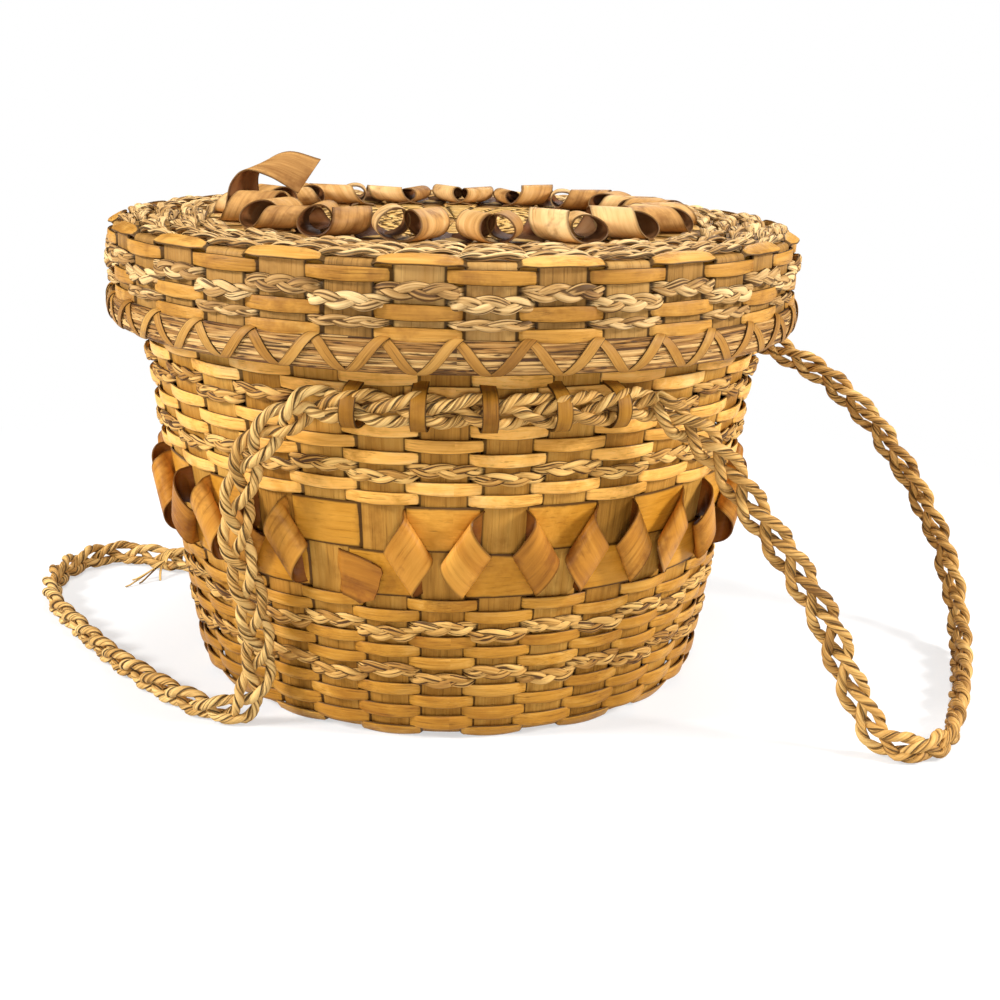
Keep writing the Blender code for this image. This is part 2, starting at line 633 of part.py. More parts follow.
def add_lid_side():
    rows = [
        ("lid_ash_row_low", LID_LOW_ROW_HEIGHT, WEAVER_THICKNESS, ASH_WEAVER),
        ("lid_thin_braid", LID_THIN_BRAID_WIDTH, LID_BRAID_THICKNESS, SWEETGRASS),
        ("lid_ash_row_middle", LID_MIDDLE_ROW_HEIGHT, WEAVER_THICKNESS, ASH_WEAVER),
        ("lid_side_braid_lower", LID_BRAID_WIDTH, LID_BRAID_THICKNESS, SWEETGRASS),
        ("lid_side_braid_upper", LID_BRAID_WIDTH, LID_BRAID_THICKNESS, SWEETGRASS),
        ("lid_ash_row_high", LID_HIGH_ROW_HEIGHT, WEAVER_THICKNESS, ASH_WEAVER),
    ]
    levels = stack(lid_rim_bottom() + RIM_BUNDLE_HEIGHT + GAP, [row[1] for row in rows])
    for (name, _, thickness, look), (bottom, top) in zip(rows, levels):
        add_object(name, lid_side_ring(bottom, top, thickness), look)

    low = levels[-1][1] + GAP
    roof = lid_top_face() + GAP
    inner = LID_RADIUS + GAP
    edge = LID_RADIUS - LID_TOP_INSET + GAP
    outer = inner + WEAVER_THICKNESS
    shoulder = [(inner, low), (outer, low), (outer, roof), (inner, roof + WEAVER_THICKNESS),
                (edge, roof + WEAVER_THICKNESS), (edge, roof), (inner, roof)]
    add_object("lid_shoulder_row", ring(shoulder, LID_STAKES, LID_TURN + LID_SKEW), ASH_WEAVER)


def add_lid_rim():
    turn = LID_TURN + LID_SKEW
    low = lid_rim_bottom()
    high = low + RIM_BUNDLE_HEIGHT
    inner = LID_RADIUS + GAP
    outer = inner + RIM_BUNDLE_THICKNESS
    bundle = [(inner, low), (outer - RIM_BUNDLE_ROUND, low), (outer, low + RIM_BUNDLE_ROUND),
              (outer, high - RIM_BUNDLE_ROUND), (outer - RIM_BUNDLE_ROUND, high), (inner, high)]
    add_object("lid_rim_bundle", ring(bundle, LID_STAKES, turn), RIM_GRASS)

    face = LID_RADIUS - LID_SPLINT_THICKNESS - GAP
    back = face - LID_HOOP_THICKNESS
    hoop = [(back, low), (face, low), (face, high), (back, high)]
    add_object("lid_rim_hoop_inner", ring(hoop, LID_STAKES, turn), ASH_WEAVER)

    seat = outer + GAP
    half_pitch = math.pi / LID_STAKES
    stations = []
    for i in range(2 * LID_STAKES):
        angle = turn + half_pitch * i
        if i % 2 == 0:
            stretch = 1.0
            bottom = low
        else:
            stretch = 1 / math.cos(half_pitch)
            bottom = high - LASHING_WIDTH
        stations.append([around(r * stretch, angle, z) for r, z in (
            (seat, bottom), (seat + LASHING_THICKNESS, bottom),
            (seat + LASHING_THICKNESS, bottom + LASHING_WIDTH), (seat, bottom + LASHING_WIDTH))])
    add_object("lid_rim_lashing", closed_sweep(stations), ASH_WEAVER)


def add_lid_top():
    inner = LID_MIDDLE_OUTER + GAP
    seam = inner + LID_BAND_WIDTH + GAP
    first = seam + LID_BAND_WIDTH + GAP
    add_object("lid_middle_weave", lid_top_ring(LID_MIDDLE_INNER, LID_MIDDLE_OUTER, LID_WEAVER_THICKNESS),
               SWEETGRASS)
    add_object("lid_band_inner", lid_top_ring(inner, seam - GAP, LID_WEAVER_THICKNESS), ASH_WEAVER)
    add_object("lid_band_outer", lid_top_ring(seam, first - GAP, LID_WEAVER_THICKNESS), ASH_WEAVER)
    step = (LID_RADIUS - LID_TOP_INSET - first) / LID_BRAID_ROWS
    for i in range(LID_BRAID_ROWS):
        row = lid_top_ring(first + i * step, first + (i + 1) * step - GAP, LID_BRAID_THICKNESS)
        add_object(f"lid_top_braid_{i + 1}", row, SWEETGRASS)


def add_lid_curls():
    """One strip round the two bands of the lid. Its first curl has sprung open and stands up."""
    pitch = math.tau / LID_STAKES
    seat = lid_top_face() + GAP + LID_WEAVER_THICKNESS + GAP
    seam = LID_MIDDLE_OUTER + GAP + LID_BAND_WIDTH + GAP
    off_seam = CURL_DROP * LID_STRIP_WIDTH / 2
    reach = (seam - 2 * off_seam) * math.sin(pitch / 2) - GAP
    out = np.array([0.0, 0.0, 1.0])
    start = around(seam, LID_TURN + pitch * (OPEN_CURL + 0.5), seat)
    edges = [[start + np.array(near), start + np.array(far)] for near, far in OPEN_CURL_EDGES]
    for i in range(OPEN_CURL + 1, OPEN_CURL + LID_STAKES):
        angle = LID_TURN + pitch * (i + 0.5)
        roll = curl_edges if i % 2 == 0 else rising_curl_edges
        edges += roll(around(seam, angle, seat), sideways(angle), -around(1.0, angle, 0.0), out,
                      LID_CURL_WIDTH, LID_CURL_DEPTH, LID_STRIP_WIDTH, reach)
    last = LID_TURN + pitch * OPEN_CURL
    inner_row = around(seam - off_seam, last, seat + CURL_THICKNESS)
    half = around(LID_STRIP_WIDTH / 2, last, 0.0)
    edges.append([inner_row + half, inner_row - half])
    add_object("lid_curl_strip", ribbon(edges, CURL_THICKNESS), ASH_CURL)


def clear_scene():
    for leftover in list(bpy.data.objects):
        bpy.data.objects.remove(leftover, do_unlink=True)


def build():
    clear_scene()
    add_bottom()
    add_wall()
    add_body_rim()
    add_body_curls()
    add_handle_run("handle_run_front", 0.0)
    add_handle_run("handle_run_back", back_turn())
    add_handle_loops("handle_loop_front", 0.0)
    add_handle_loops("handle_loop_back", back_turn())
    add_bight("handle_bight_left", LEFT_BIGHT, RUN_START, math.pi - RUN_START, -1)
    add_bight("handle_bight_right", RIGHT_BIGHT, RUN_END, math.pi - RUN_END, 1)
    add_lid_splints()
    add_lid_side()
    add_lid_rim()
    add_lid_top()
    add_lid_curls()


build()
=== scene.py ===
"""How the covered basket looks: woven splints, braids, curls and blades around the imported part.
"""
import math

import bpy
import numpy as np
from mathutils import Matrix, Vector


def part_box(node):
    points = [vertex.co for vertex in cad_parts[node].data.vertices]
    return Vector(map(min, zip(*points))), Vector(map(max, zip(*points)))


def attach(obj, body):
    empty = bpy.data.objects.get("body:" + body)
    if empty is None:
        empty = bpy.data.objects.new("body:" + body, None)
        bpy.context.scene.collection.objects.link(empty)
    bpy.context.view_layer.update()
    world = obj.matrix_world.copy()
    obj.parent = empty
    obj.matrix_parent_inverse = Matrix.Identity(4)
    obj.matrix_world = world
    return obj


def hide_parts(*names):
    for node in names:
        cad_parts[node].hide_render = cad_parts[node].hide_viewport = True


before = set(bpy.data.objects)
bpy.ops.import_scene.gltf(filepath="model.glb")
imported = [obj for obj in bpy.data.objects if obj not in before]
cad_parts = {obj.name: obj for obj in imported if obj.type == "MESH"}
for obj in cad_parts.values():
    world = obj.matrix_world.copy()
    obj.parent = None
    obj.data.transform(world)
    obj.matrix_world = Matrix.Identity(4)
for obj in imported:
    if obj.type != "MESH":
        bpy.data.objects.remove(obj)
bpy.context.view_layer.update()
CHANCE = np.random.default_rng(11)
TAU = math.tau
MM = 0.001

# Sizes of the basket, the part's own or fitted to them
BODY = 34
BODY_TURN = math.radians(-1.6)
BODY_PITCH = TAU / BODY
BODY_TOP = 188.0
RIM_R = 135.8
LEAN = math.radians(8.286)
FOOT_R = 101.5
FOOT_CORNER = 8.0
FOOT_CORNER_TOP = 6.85
LID = 36
LID_TURN = math.radians(-1.9)
LID_SKEW = math.radians(-3.4)
LID_SIDE_TURN = LID_TURN + LID_SKEW
LID_PITCH = TAU / LID
LID_R = 142.0
LID_CORNER = 2.0
LID_BEND = 187.2
STRIP_WIDTH = 17.2


# Objects and camera

def add_object(name, data):
    made = bpy.data.objects.new(name, data)
    bpy.context.scene.collection.objects.link(made)
    return made


def set_camera():
    """The camera of the photograph, from its place, its aim, its roll and its focal length."""
    place = np.array([-0.00518, -0.63927, 0.24978])
    aim = np.array([0.02211, 0.0, 0.06598])
    roll = 0.02751
    focal_share = 1.47835
    ahead = unit(aim - place)
    right = unit(np.cross(ahead, [0, 0, 1]))
    up = np.cross(right, ahead)
    columns = np.stack([math.cos(roll) * right + math.sin(roll) * up,
                        math.cos(roll) * up - math.sin(roll) * right, -ahead, place], axis=1)
    data = bpy.data.cameras.new("camera")
    data.sensor_width = 36.0
    data.lens = focal_share * data.sensor_width
    data.clip_start = 0.02
    data.clip_end = 30.0
    camera = add_object("camera", data)
    camera.matrix_world = Matrix([*columns.tolist(), [0, 0, 0, 1]])
    bpy.context.scene.camera = camera


# Materials

class Nodes:
    """A short way to wire a material or the world."""

    def __init__(self, owner):
        owner.use_nodes = True
        self.owner = owner
        self.tree = owner.node_tree

    def add(self, kind, inputs=(), **settings):
        """A new node with its settings, and with its inputs by name or by number."""
        node = self.tree.nodes.new(kind)
        for key, value in settings.items():
            setattr(node, key, value)
        self.fill(node, dict(inputs))
        return node

    def fill(self, node, inputs):
        """Gives a node its inputs: numbers, colours, or the outputs of other nodes."""
        for key, value in inputs.items():
            if isinstance(value, (int, float)):
                node.inputs[key].default_value = value
            elif isinstance(value, tuple):
                node.inputs[key].default_value = (*value, 1.0)
            else:
                self.tree.links.new(value, node.inputs[key])

    def attribute(self, name):
        return self.add("ShaderNodeAttribute", attribute_name=name).outputs["Fac"]

    def place(self):
        return self.add("ShaderNodeTexCoord").outputs["Object"]

    def math(self, operation, a, b):
        return self.add("ShaderNodeMath", {0: a, 1: b}, operation=operation).outputs[0]

    def times(self, a, b):
        return self.math("MULTIPLY", a, b)

    def total(self, *weighted):
        """The sum of outputs, each with its weight."""
        made = None
        for value, weight in weighted:
            part = self.times(value, weight)
            made = part if made is None else self.math("ADD", made, part)
        return made

    def noise(self, vector, scale, detail=3.0, rough=0.6, distortion=0.0):
        inputs = {"Vector": vector, "Scale": scale, "Detail": detail, "Roughness": rough,
                  "Distortion": distortion}
        return self.add("ShaderNodeTexNoise", inputs).outputs["Fac"]

    def ramp(self, fac, stops):
        node = self.add("ShaderNodeValToRGB", {"Fac": fac})
        elements = node.color_ramp.elements
        while len(elements) < len(stops):
            elements.new(0.5)
        for element, (place, color) in zip(elements, stops):
            element.position = place
            element.color = (*color, 1.0)
        return node.outputs["Color"]

    def mix(self, fac, a, b):
        return self.add("ShaderNodeMix", {0: fac, 6: a, 7: b}, data_type="RGBA").outputs[2]

    def smooth(self, fac, low, high):
        inputs = {"Value": fac, "From Min": low, "From Max": high}
        return self.add("ShaderNodeMapRange", inputs, interpolation_type="SMOOTHSTEP").outputs["Result"]

    def wire(self, color, roughness, shine, relief, distance, strength):
        """Wires the shader and gives the finished material."""
        bump = self.add("ShaderNodeBump", {"Height": relief, "Distance": distance, "Strength": strength})
        self.fill(self.tree.nodes["Principled BSDF"], {
            "Base Color": color, "Roughness": roughness, "Specular IOR Level": shine,
            "Normal": bump.outputs["Normal"]})
        return self.owner


def darker(color, share):
    return tuple(share * c for c in color)


def grain_vector(n, along, across):
    """Grain coordinates stretched along a strip, different on every strip by its tone."""
    grain = n.add("ShaderNodeUVMap", uv_map="grain").outputs["UV"]
    parts = n.add("ShaderNodeSeparateXYZ", {0: grain}).outputs
    tone = n.attribute("tone")
    joined = {0: n.times(parts[0], along), 1: n.times(parts[1], across), 2: n.times(tone, 7.0)}
    return n.add("ShaderNodeCombineXYZ", joined).outputs[0], tone


def splint_material(name, dark, middle, light, stain, roughness, shine, fine=1.0, edge_dark=0.9,
                    inner=None, blotchy=0.5):
    """Split ash: long fibres, broad streaks, blotches of age, edges darkened by wear and by painted shade,
    and painted shade in creases and where a strip goes in behind another.
    """
    n = Nodes(bpy.data.materials.new(name))
    fibres, tone = grain_vector(n, 45.0, 1700.0 * fine)
    streaks, _ = grain_vector(n, 18.0, 300.0 * fine)
    place = n.place()
    fine_fac = n.noise(fibres, 1.0, 4.0, 0.65)
    broad_fac = n.noise(streaks, 1.0, 3.0, 0.6, 0.4)
    blotch = n.noise(place, 60.0, 4.0, 0.68)
    wide_blotch = n.noise(place, 16.0, 2.0, 0.5)
    shade = n.total((broad_fac, 0.62), (tone, 0.30), (fine_fac, 0.30), (wide_blotch, 0.30))
    color = n.ramp(n.math("SUBTRACT", shade, 0.30), [(0.14, dark), (0.44, middle), (0.80, light)])
    color = n.mix(n.times(n.smooth(blotch, 0.48, 0.70), blotchy), color, stain)
    lines = n.smooth(fine_fac, 0.44, 0.27)
    color = n.mix(n.times(lines, 0.7 * fine), color, darker(dark, 0.35))
    # Painted shade: the inner side of a strip is darkened towards the inner colour, standing in for the
    # shade inside a curl's roll.
    if inner:
        color = n.mix(n.times(n.attribute("inner"), 0.8), color, inner)
    # Wear at the edges, and painted shade: edges, folds and the places where a strip goes in behind another
    # are darkened, standing in for the shade there.
    uneven = n.times(n.math("SUBTRACT", broad_fac, 0.5), 0.5)
    wear_and_shade = n.smooth(n.math("ADD", n.attribute("edge"), uneven), 0.46, 0.80)
    color = n.mix(n.times(wear_and_shade, edge_dark), color, darker(dark, 0.16))
    rough = n.math("ADD", n.times(fine_fac, 0.25), roughness - 0.12)
    return n.wire(color, rough, shine, n.total((fine_fac, 1.0), (broad_fac, 0.8)), 0.0003, 0.8)


def grass_material(name, dark, middle, light, roughness, blades, gap_dark, strand_shade=0.85):
    """Bundled grass: thin blades side by side with dark lines between them."""
    n = Nodes(bpy.data.materials.new(name))
    blade_vector, tone = grain_vector(n, 24.0, blades)
    fibre_vector, _ = grain_vector(n, 40.0, blades * 3.5)
    blade_fac = n.noise(blade_vector, 1.0, 1.5, 0.5, 0.1)
    fibre_fac = n.noise(fibre_vector, 1.0, 3.0, 0.6)
    blotch = n.noise(n.place(), 70.0, 3.0, 0.6)
    shade = n.total((blade_fac, 0.75), (tone, 0.4), (fibre_fac, 0.2), (blotch, 0.35))
    color = n.ramp(n.math("SUBTRACT", shade, 0.38), [(0.14, dark), (0.46, middle), (0.82, light)])
    gaps = n.smooth(blade_fac, 0.45, 0.37)
    color = n.mix(n.times(gaps, gap_dark), color, darker(dark, 0.4))
    # Painted shade on each strand's sides and underside, and where it goes in behind a splint.
    edge = n.smooth(n.attribute("edge"), 0.38, 0.88)
    color = n.mix(n.times(edge, strand_shade), color, darker(dark, 0.16))
    rough = n.math("ADD", n.times(fibre_fac, 0.2), roughness - 0.1)
    relief = n.math("ADD", n.smooth(blade_fac, 0.30, 0.55), n.times(fibre_fac, 0.4))
    return n.wire(color, rough, 0.25, relief, 0.00032, 0.9)


# Dark, middle, light and stain colour, roughness and shine, then how fine the grain is, how dark the wear
# and painted shade at edges and creases are, the painted shade colour of a curl's inner side and the
# strength of the blotches
SPLINTS = {
    "ash_weaver": (
        (0.28, 0.1, 0.007), (0.53, 0.24, 0.027), (0.84, 0.48, 0.12),
        (0.36, 0.135, 0.009), 0.44, 0.18),
    # A brighter copy of ash_weaver: painted light on the rows above the bands, in the shade of the lid and
    # the handle.
    "ash_weaver_painted_light": (
        (0.42, 0.175, 0.012), (0.9, 0.46, 0.098), (0.98, 0.67, 0.26),
        (0.48, 0.2, 0.015), 0.44, 0.18),
    "ash_band": (
        (0.26, 0.09, 0.006), (0.51, 0.218, 0.018), (0.72, 0.35, 0.05),
        (0.32, 0.11, 0.008), 0.46, 0.16, 0.5),
    "ash_stake": (
        (0.2, 0.08, 0.008), (0.46, 0.212, 0.034), (0.66, 0.365, 0.08),
        (0.24, 0.09, 0.01), 0.56, 0.12, 0.8),
    # For the curls, the last colour is painted shade for the inner side of the roll.
    "ash_curl": (
        (0.2, 0.065, 0.009), (0.48, 0.195, 0.024), (0.78, 0.39, 0.07),
        (0.2, 0.06, 0.01), 0.44, 0.12, 0.45, 0.6, (0.13, 0.026, 0.004), 0.7),
    "lid_curl": (
        (0.18, 0.068, 0.016), (0.53, 0.28, 0.088), (0.9, 0.62, 0.29),
        (0.19, 0.075, 0.02), 0.5, 0.08, 0.45, 0.6, (0.1, 0.02, 0.005), 0.8),
    "lid_weaver": (
        (0.38, 0.18, 0.035), (0.66, 0.39, 0.115), (0.86, 0.6, 0.26),
        (0.34, 0.16, 0.035), 0.6, 0.08),
    "lid_side_weaver": (
        (0.28, 0.115, 0.014), (0.52, 0.245, 0.04), (0.78, 0.45, 0.12),
        (0.26, 0.1, 0.016), 0.48, 0.16, 1.0, 0.9, None, 0.65),
    "lash": (
        (0.2, 0.08, 0.012), (0.4, 0.185, 0.034), (0.62, 0.35, 0.09),
        (0.2, 0.08, 0.014), 0.5, 0.15),
    "strap": (
        (0.16, 0.06, 0.005), (0.32, 0.135, 0.014), (0.5, 0.245, 0.035),
        (0.15, 0.05, 0.006), 0.5, 0.14),
    "lid_stake": (
        (0.19, 0.09, 0.018), (0.42, 0.215, 0.054), (0.56, 0.33, 0.105),
        (0.2, 0.09, 0.02), 0.55, 0.12, 0.8),
}

# Dark, middle and light colour, roughness, blades to a metre, how dark the gaps between blades are, and how
# dark the painted shade on strands is
GRASSES = {
    "sweetgrass": ((0.16, 0.058, 0.008), (0.47, 0.228, 0.045), (0.84, 0.51, 0.155), 0.6, 1700.0, 0.95),
    "lid_grass": ((0.16, 0.065, 0.014), (0.45, 0.245, 0.074), (0.82, 0.56, 0.25), 0.62, 1700.0, 0.85),
    "braided_cord": ((0.24, 0.1, 0.016), (0.58, 0.31, 0.078), (0.9, 0.61, 0.23), 0.6, 1100.0, 0.6, 0.9),
    "rim_grass": ((0.13, 0.048, 0.01), (0.35, 0.165, 0.038), (0.7, 0.43, 0.155), 0.6, 1200.0, 0.85),
}


def make_materials():
    made = {name: splint_material(name + "_grain", *looks) for name, looks in SPLINTS.items()}
    made.update({name: grass_material(name + "_blades", *looks) for name, looks in GRASSES.items()})
    return made


# Shapes

class Shape:
    """Tubes and strips gathered for one object, with grain coordinates, tones and edge marks."""

    def __init__(self):
        self.points = []
        self.faces = []
        self.grain = []
        self.marks = {"tone": [], "edge": [], "inner": []}
        self.count = 0

    def add(self, stations, along, across, tone, loop=False, edge=0.0, inner=0.0):
        """A tube through stations of k points each. across has k + 1 values; a loop has n + 1 along."""
        n, k, _ = stations.shape
        rows = np.arange(n if loop else n - 1)
        i, j = (v.ravel() for v in np.meshgrid(rows, np.arange(k), indexing="ij"))
        i2 = (i + 1) % n
        j2 = (j + 1) % k
        quads = np.stack([i * k + j, i * k + j2, i2 * k + j2, i2 * k + j], axis=1)
        flat = stations.reshape(-1, 3)
        corners = flat[quads]
        middle = stations.mean(axis=1)
        outwards = corners.mean(axis=1) - (middle[i] + middle[i2]) / 2
        normals = np.cross(corners[:, 2] - corners[:, 0], corners[:, 3] - corners[:, 1])
        turned = (outwards * normals).sum() < 0
        uv = np.stack([np.stack([along[a], across[b]], axis=1)
                       for a, b in ((i, j), (i, j + 1), (i + 1, j + 1), (i + 1, j))], axis=1)
        if turned:
            quads = quads[:, ::-1]
            uv = uv[:, ::-1]
        self.points.append(flat)
        self.faces += (quads + self.count).tolist()
        self.grain.append(uv.reshape(-1, 2))
        for at in () if loop else (0, n - 1):
            order = np.arange(k) + at * k
            if (at == 0) != turned:
                order = order[::-1]
            self.faces.append((order + self.count).tolist())
            self.grain.append(np.stack([np.full(k, along[at]), across[order % k]], axis=1))
        tone = np.broadcast_to(tone, n)[:, None]
        for label, values in (("tone", tone), ("edge", edge), ("inner", inner)):
            self.marks[label].append(np.broadcast_to(values, (n, k)).ravel())
        self.count += n * k

    def make(self, name, material, body, slot, *replaced):
        """The object of all that was added."""
        mesh = bpy.data.meshes.new(name)
        mesh.from_pydata(np.concatenate(self.points) * MM, [], self.faces)
        uv = np.concatenate(self.grain) * MM
        mesh.uv_layers.new(name="grain").data.foreach_set("uv", uv.astype(np.float32).ravel())
        for label, values in self.marks.items():
            attribute = mesh.attributes.new(label, "FLOAT", "POINT")
            attribute.data.foreach_set("value", np.concatenate(values).astype(np.float32))
        mesh.shade_smooth()
        mesh.set_sharp_from_angle(angle=math.radians(52))
        mesh.materials.append(MATERIALS[material])
        piece = add_object(name, mesh)
        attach(piece, body)
        if replaced:
            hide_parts(*replaced)
        return piece


def polar(r, theta, z):
    """Points at an angle from the front, counted towards +X."""
    return np.stack([r * np.sin(theta), -r * np.cos(theta), z + 0 * r * theta], axis=-1)


def radial(angle):
    return polar(1.0, angle, 0.0)


def sideways(angle):
    return radial(angle + math.pi / 2)


def unit(vectors):
    return vectors / np.linalg.norm(vectors, axis=-1, keepdims=True)


def square_to(vectors, tangent):
    """The vectors made square to the unit tangents, at length one."""
    return unit(vectors - (vectors * tangent).sum(axis=-1, keepdims=True) * tangent)


def reach_along(line):
    """How far each point of a line is from its start."""
    return np.concatenate([[0], np.cumsum(np.linalg.norm(np.diff(line, axis=0), axis=1))])


def levels(node):
    """Bottom and top of a CAD node."""
    low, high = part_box(node)
    return low.z / MM, high.z / MM


def catmull(points, steps):
    """A smooth line through points, each a row of any number of values."""
    points = np.asarray(points, float)
    padded = np.concatenate([2 * points[:1] - points[1:2], points, 2 * points[-1:] - points[-2:-1]])
    p0, p1, p2, p3 = (padded[i:i + len(points) - 1, None] for i in range(4))
    t = (np.arange(steps) / steps)[:, None]
    line = 0.5 * (2 * p1 + (p2 - p0) * t + (2 * p0 - 5 * p1 + 4 * p2 - p3) * t ** 2
                  + (3 * p1 - p0 - 3 * p2 + p3) * t ** 3)
    return np.concatenate([line.reshape(-1, points.shape[1]), points[-1:]])


# The faces that weavers follow: each gives r, z, and the normal and the way up in (r, z)

def wall_face(p):
    """The outer face of the body's uprights at the height p, round the foot's corner at the bottom."""
    straight = p >= FOOT_CORNER_TOP
    a = np.arcsin(np.clip((p - FOOT_CORNER) / FOOT_CORNER, -1, 1))
    a = np.where(straight, -LEAN, a)
    r = np.where(straight, RIM_R - (BODY_TOP - p) * math.tan(LEAN), FOOT_R + FOOT_CORNER * np.cos(a))
    return r, p, np.cos(a), np.sin(a), -np.sin(a), np.cos(a)


def lid_face(p):
    """The outer face of the lid's splints: up its side, round its corner, in over its top."""
    a = np.clip((p - LID_BEND) / LID_CORNER, 0, math.pi / 2)
    over = np.maximum(p - LID_BEND - LID_CORNER * math.pi / 2, 0)
    r = LID_R - LID_CORNER + LID_CORNER * np.cos(a) - over
    z = np.minimum(p, LID_BEND) + LID_CORNER * np.sin(a)
    return r, z, np.cos(a), np.sin(a), -np.sin(a), np.cos(a)


def on_lid_top(radius):
    """The place on lid_face of a radius on the lid's top."""
    return LID_BEND + LID_CORNER * math.pi / 2 + LID_R - LID_CORNER - radius


def floor_face(p):
    """The underside of the basket's bottom at the radius p, facing down."""
    one = np.ones_like(p)
    return p, 1.15 * one, 0 * one, -one, one, 0 * one


def lay(face, p, theta, c, n):
    """Points off a face: p and theta are per station, c is the way up it and n the way out of it."""
    r, z, nr, nz, tr, tz = face(p)
    rr = r[:, None] + n * nr[:, None] + c * tr[:, None]
    zz = z[:, None] + n * nz[:, None] + c * tz[:, None]
    return polar(rr, theta[:, None], zz)


# Strips and strands

def wobble(theta, size, waves=5, low=2, high=19):
    """A smooth random wander round a ring."""
    total = np.zeros_like(theta)
    for _ in range(waves):
        total += math.sqrt(1 / waves) * np.sin(CHANCE.integers(low, high) * theta + CHANCE.uniform(0, TAU))
    return size * total


def ring(count):
    return np.arange(count) * TAU / count


def splint_section(half, thickness, crown):
    """Across and out positions round a flat splint's cross-section, and how near each lies to its edge."""
    across = np.array([-1, -0.88, -0.4, 0.4, 0.88, 1])
    out = np.array([0.1, 0.5, 0.5, 0.5, 0.5, 0.1])
    c = np.concatenate([across, across[::-1]])
    n = np.concatenate([out, -out])
    bulge = 1 - c ** 2
    crown = np.broadcast_to(crown, half.shape)
    return c * half[:, None], n * thickness + bulge * crown[:, None], np.abs(c) ** 5, np.append(c, c[0])


def crossing(theta, turn, pitch, over, steep, late):
    """How far a weaver is out over a splint (1) or in behind it (-1), and its plain wave.

    It stays out across the gap, and goes in at the edge of the next splint.
    """
    wave = np.cos(math.pi * (theta - turn - over * pitch) / pitch)
    return np.tanh(steep * (wave + late)), wave


def woven_splint(shape, face, p, half, frame_ring, over, thickness, base, steep, bow, lens=0.14,
                 tone=None, per=24, wander=0.10, late=0.36, point=0.0):
    """One flat weaver round a ring of splints, over every second one.

    base is the thickness of those splints. bow is how far the weaver stands out over the middle of one,
    lens how much wider and point how much narrower towards its ends it is there.
    """
    count, turn = frame_ring
    theta = ring(count * per)
    depth, wave = crossing(theta, turn, TAU / count, over, steep, late)
    swing = (base + thickness) / 2 + 0.10
    n_middle = -base / 2 + depth * swing + bow * np.maximum(wave, 0) ** 0.8
    place = p + wobble(theta, wander)
    halves = half * (1 + lens * np.clip(wave, -0.6, 1)) * (1 + wobble(theta, 0.03))
    halves = halves * (1 - point * np.clip(1 - (wave + late) / 0.9, 0, 1) ** 1.5)
    c, n, edge, across = splint_section(halves, thickness, 0.16 + 0.10 * wave)
    points = lay(face, place, theta, c, n_middle[:, None] + n)
    along = np.arange(len(theta) + 1) * TAU * face(p)[0] / len(theta)
    if tone is None:
        tone = CHANCE.uniform(0.2, 0.8)
    tones = tone + wobble(theta, 0.2)
    # Painted shade: the weaver is darkened where it goes in behind a splint.
    dive = np.clip((0.60 - depth) / 0.25, 0, 1)
    shape.add(points, along, across * half, tones, loop=True,
              edge=np.maximum(edge, dive[:, None]))


def add_strand(shape, points, guide, wide, thick, tone, loop=False, sides=10, dive=0.0, flanks=2):
    """A rounded strand along points, wide across the guide and thick along it."""
    if loop:
        tangent = unit(np.roll(points, -1, axis=0) - np.roll(points, 1, axis=0))
    else:
        tangent = unit(np.gradient(points, axis=0))
    normal = square_to(guide, tangent)
    side = np.cross(tangent, normal)
    angles = ring(sides)
    wide = np.broadcast_to(wide, len(points))
    thick = np.broadcast_to(thick, len(points))
    stations = (points[:, None] + side[:, None] * np.outer(wide, np.cos(angles))[..., None]
                + normal[:, None] * np.outer(thick, np.sin(angles))[..., None])
    closed = np.concatenate([points, points[:1]]) if loop else points
    along = reach_along(closed) + CHANCE.uniform(0, 400)
    mean = float(np.mean(wide) + np.mean(thick)) / 2
    # Painted shade: the strand's sides and underside, and where it goes in behind a splint, are marked to
    # be darkened where its neighbours shade it.
    flank = np.abs(np.cos(angles)) if flanks == 2 else np.maximum(np.cos(angles), 0)
    strand_shade = flank ** 10 + (np.sin(angles) < -0.1) * 0.3
    marks = np.maximum(strand_shade, np.broadcast_to(dive, len(points))[:, None])
    shape.add(stations, along, TAU * mean * np.arange(sides + 1) / sides, tone, loop=loop, edge=marks)


def woven_braid(shape, face, p, half, frame_ring, over, thickness=2.5, steep=3.0, period=29.0):
    """A braid of three strands woven round a ring of splints, over every second one."""
    count, turn = frame_ring
    base = 0.8
    late = 0.22
    girth = TAU * float(face(p)[0])
    theta = ring(int(girth / 1.05))
    depth, wave = crossing(theta, turn, TAU / count, over, steep, late)
    out = np.clip(wave + late, 0, 1)
    fat = 0.60 + 0.42 * out ** 0.6
    n_middle = -base / 2 + depth * (base / 2 + 0.42 * thickness) + 0.6 * out
    place = p + wobble(theta, 0.14)
    periods = round(girth / period)
    tone = CHANCE.uniform(0.2, 0.6)
    r, z, nr, nz, tr, tz = face(place)
    guide = polar(nr, theta, nz)
    way = CHANCE.choice([-1, 1])
    drift = wobble(theta, 0.5, 3, 2, 7)
    width = half * fat
    for strand in range(3):
        phase = periods * theta + TAU * strand / 3 + drift
        c = 0.54 * width * np.sin(phase)
        front = way * np.sin(2 * phase)
        n = 0.26 * thickness * fat * front + n_middle
        points = polar(r + n * nr + c * tr, theta, z + n * nz + c * tz)
        # The strands are darkened where the braid goes in behind a splint: painted shade.
        add_strand(shape, points, guide, 0.46 * width * (1 + 0.22 * front), 0.36 * thickness * fat,
                   tone + 0.25 * strand + wobble(theta, 0.2), loop=True,
                   dive=np.clip((0.6 - depth) / 1.1, 0, 1))


def make_row(weave, name, material, body, node, *place, **settings):
    """One row or hoop as a piece of its own."""
    shape = Shape()
    weave(shape, *place, **settings)
    shape.make(name, material, body, "sweetgrass" if weave == woven_braid else "ash_weaver", node)


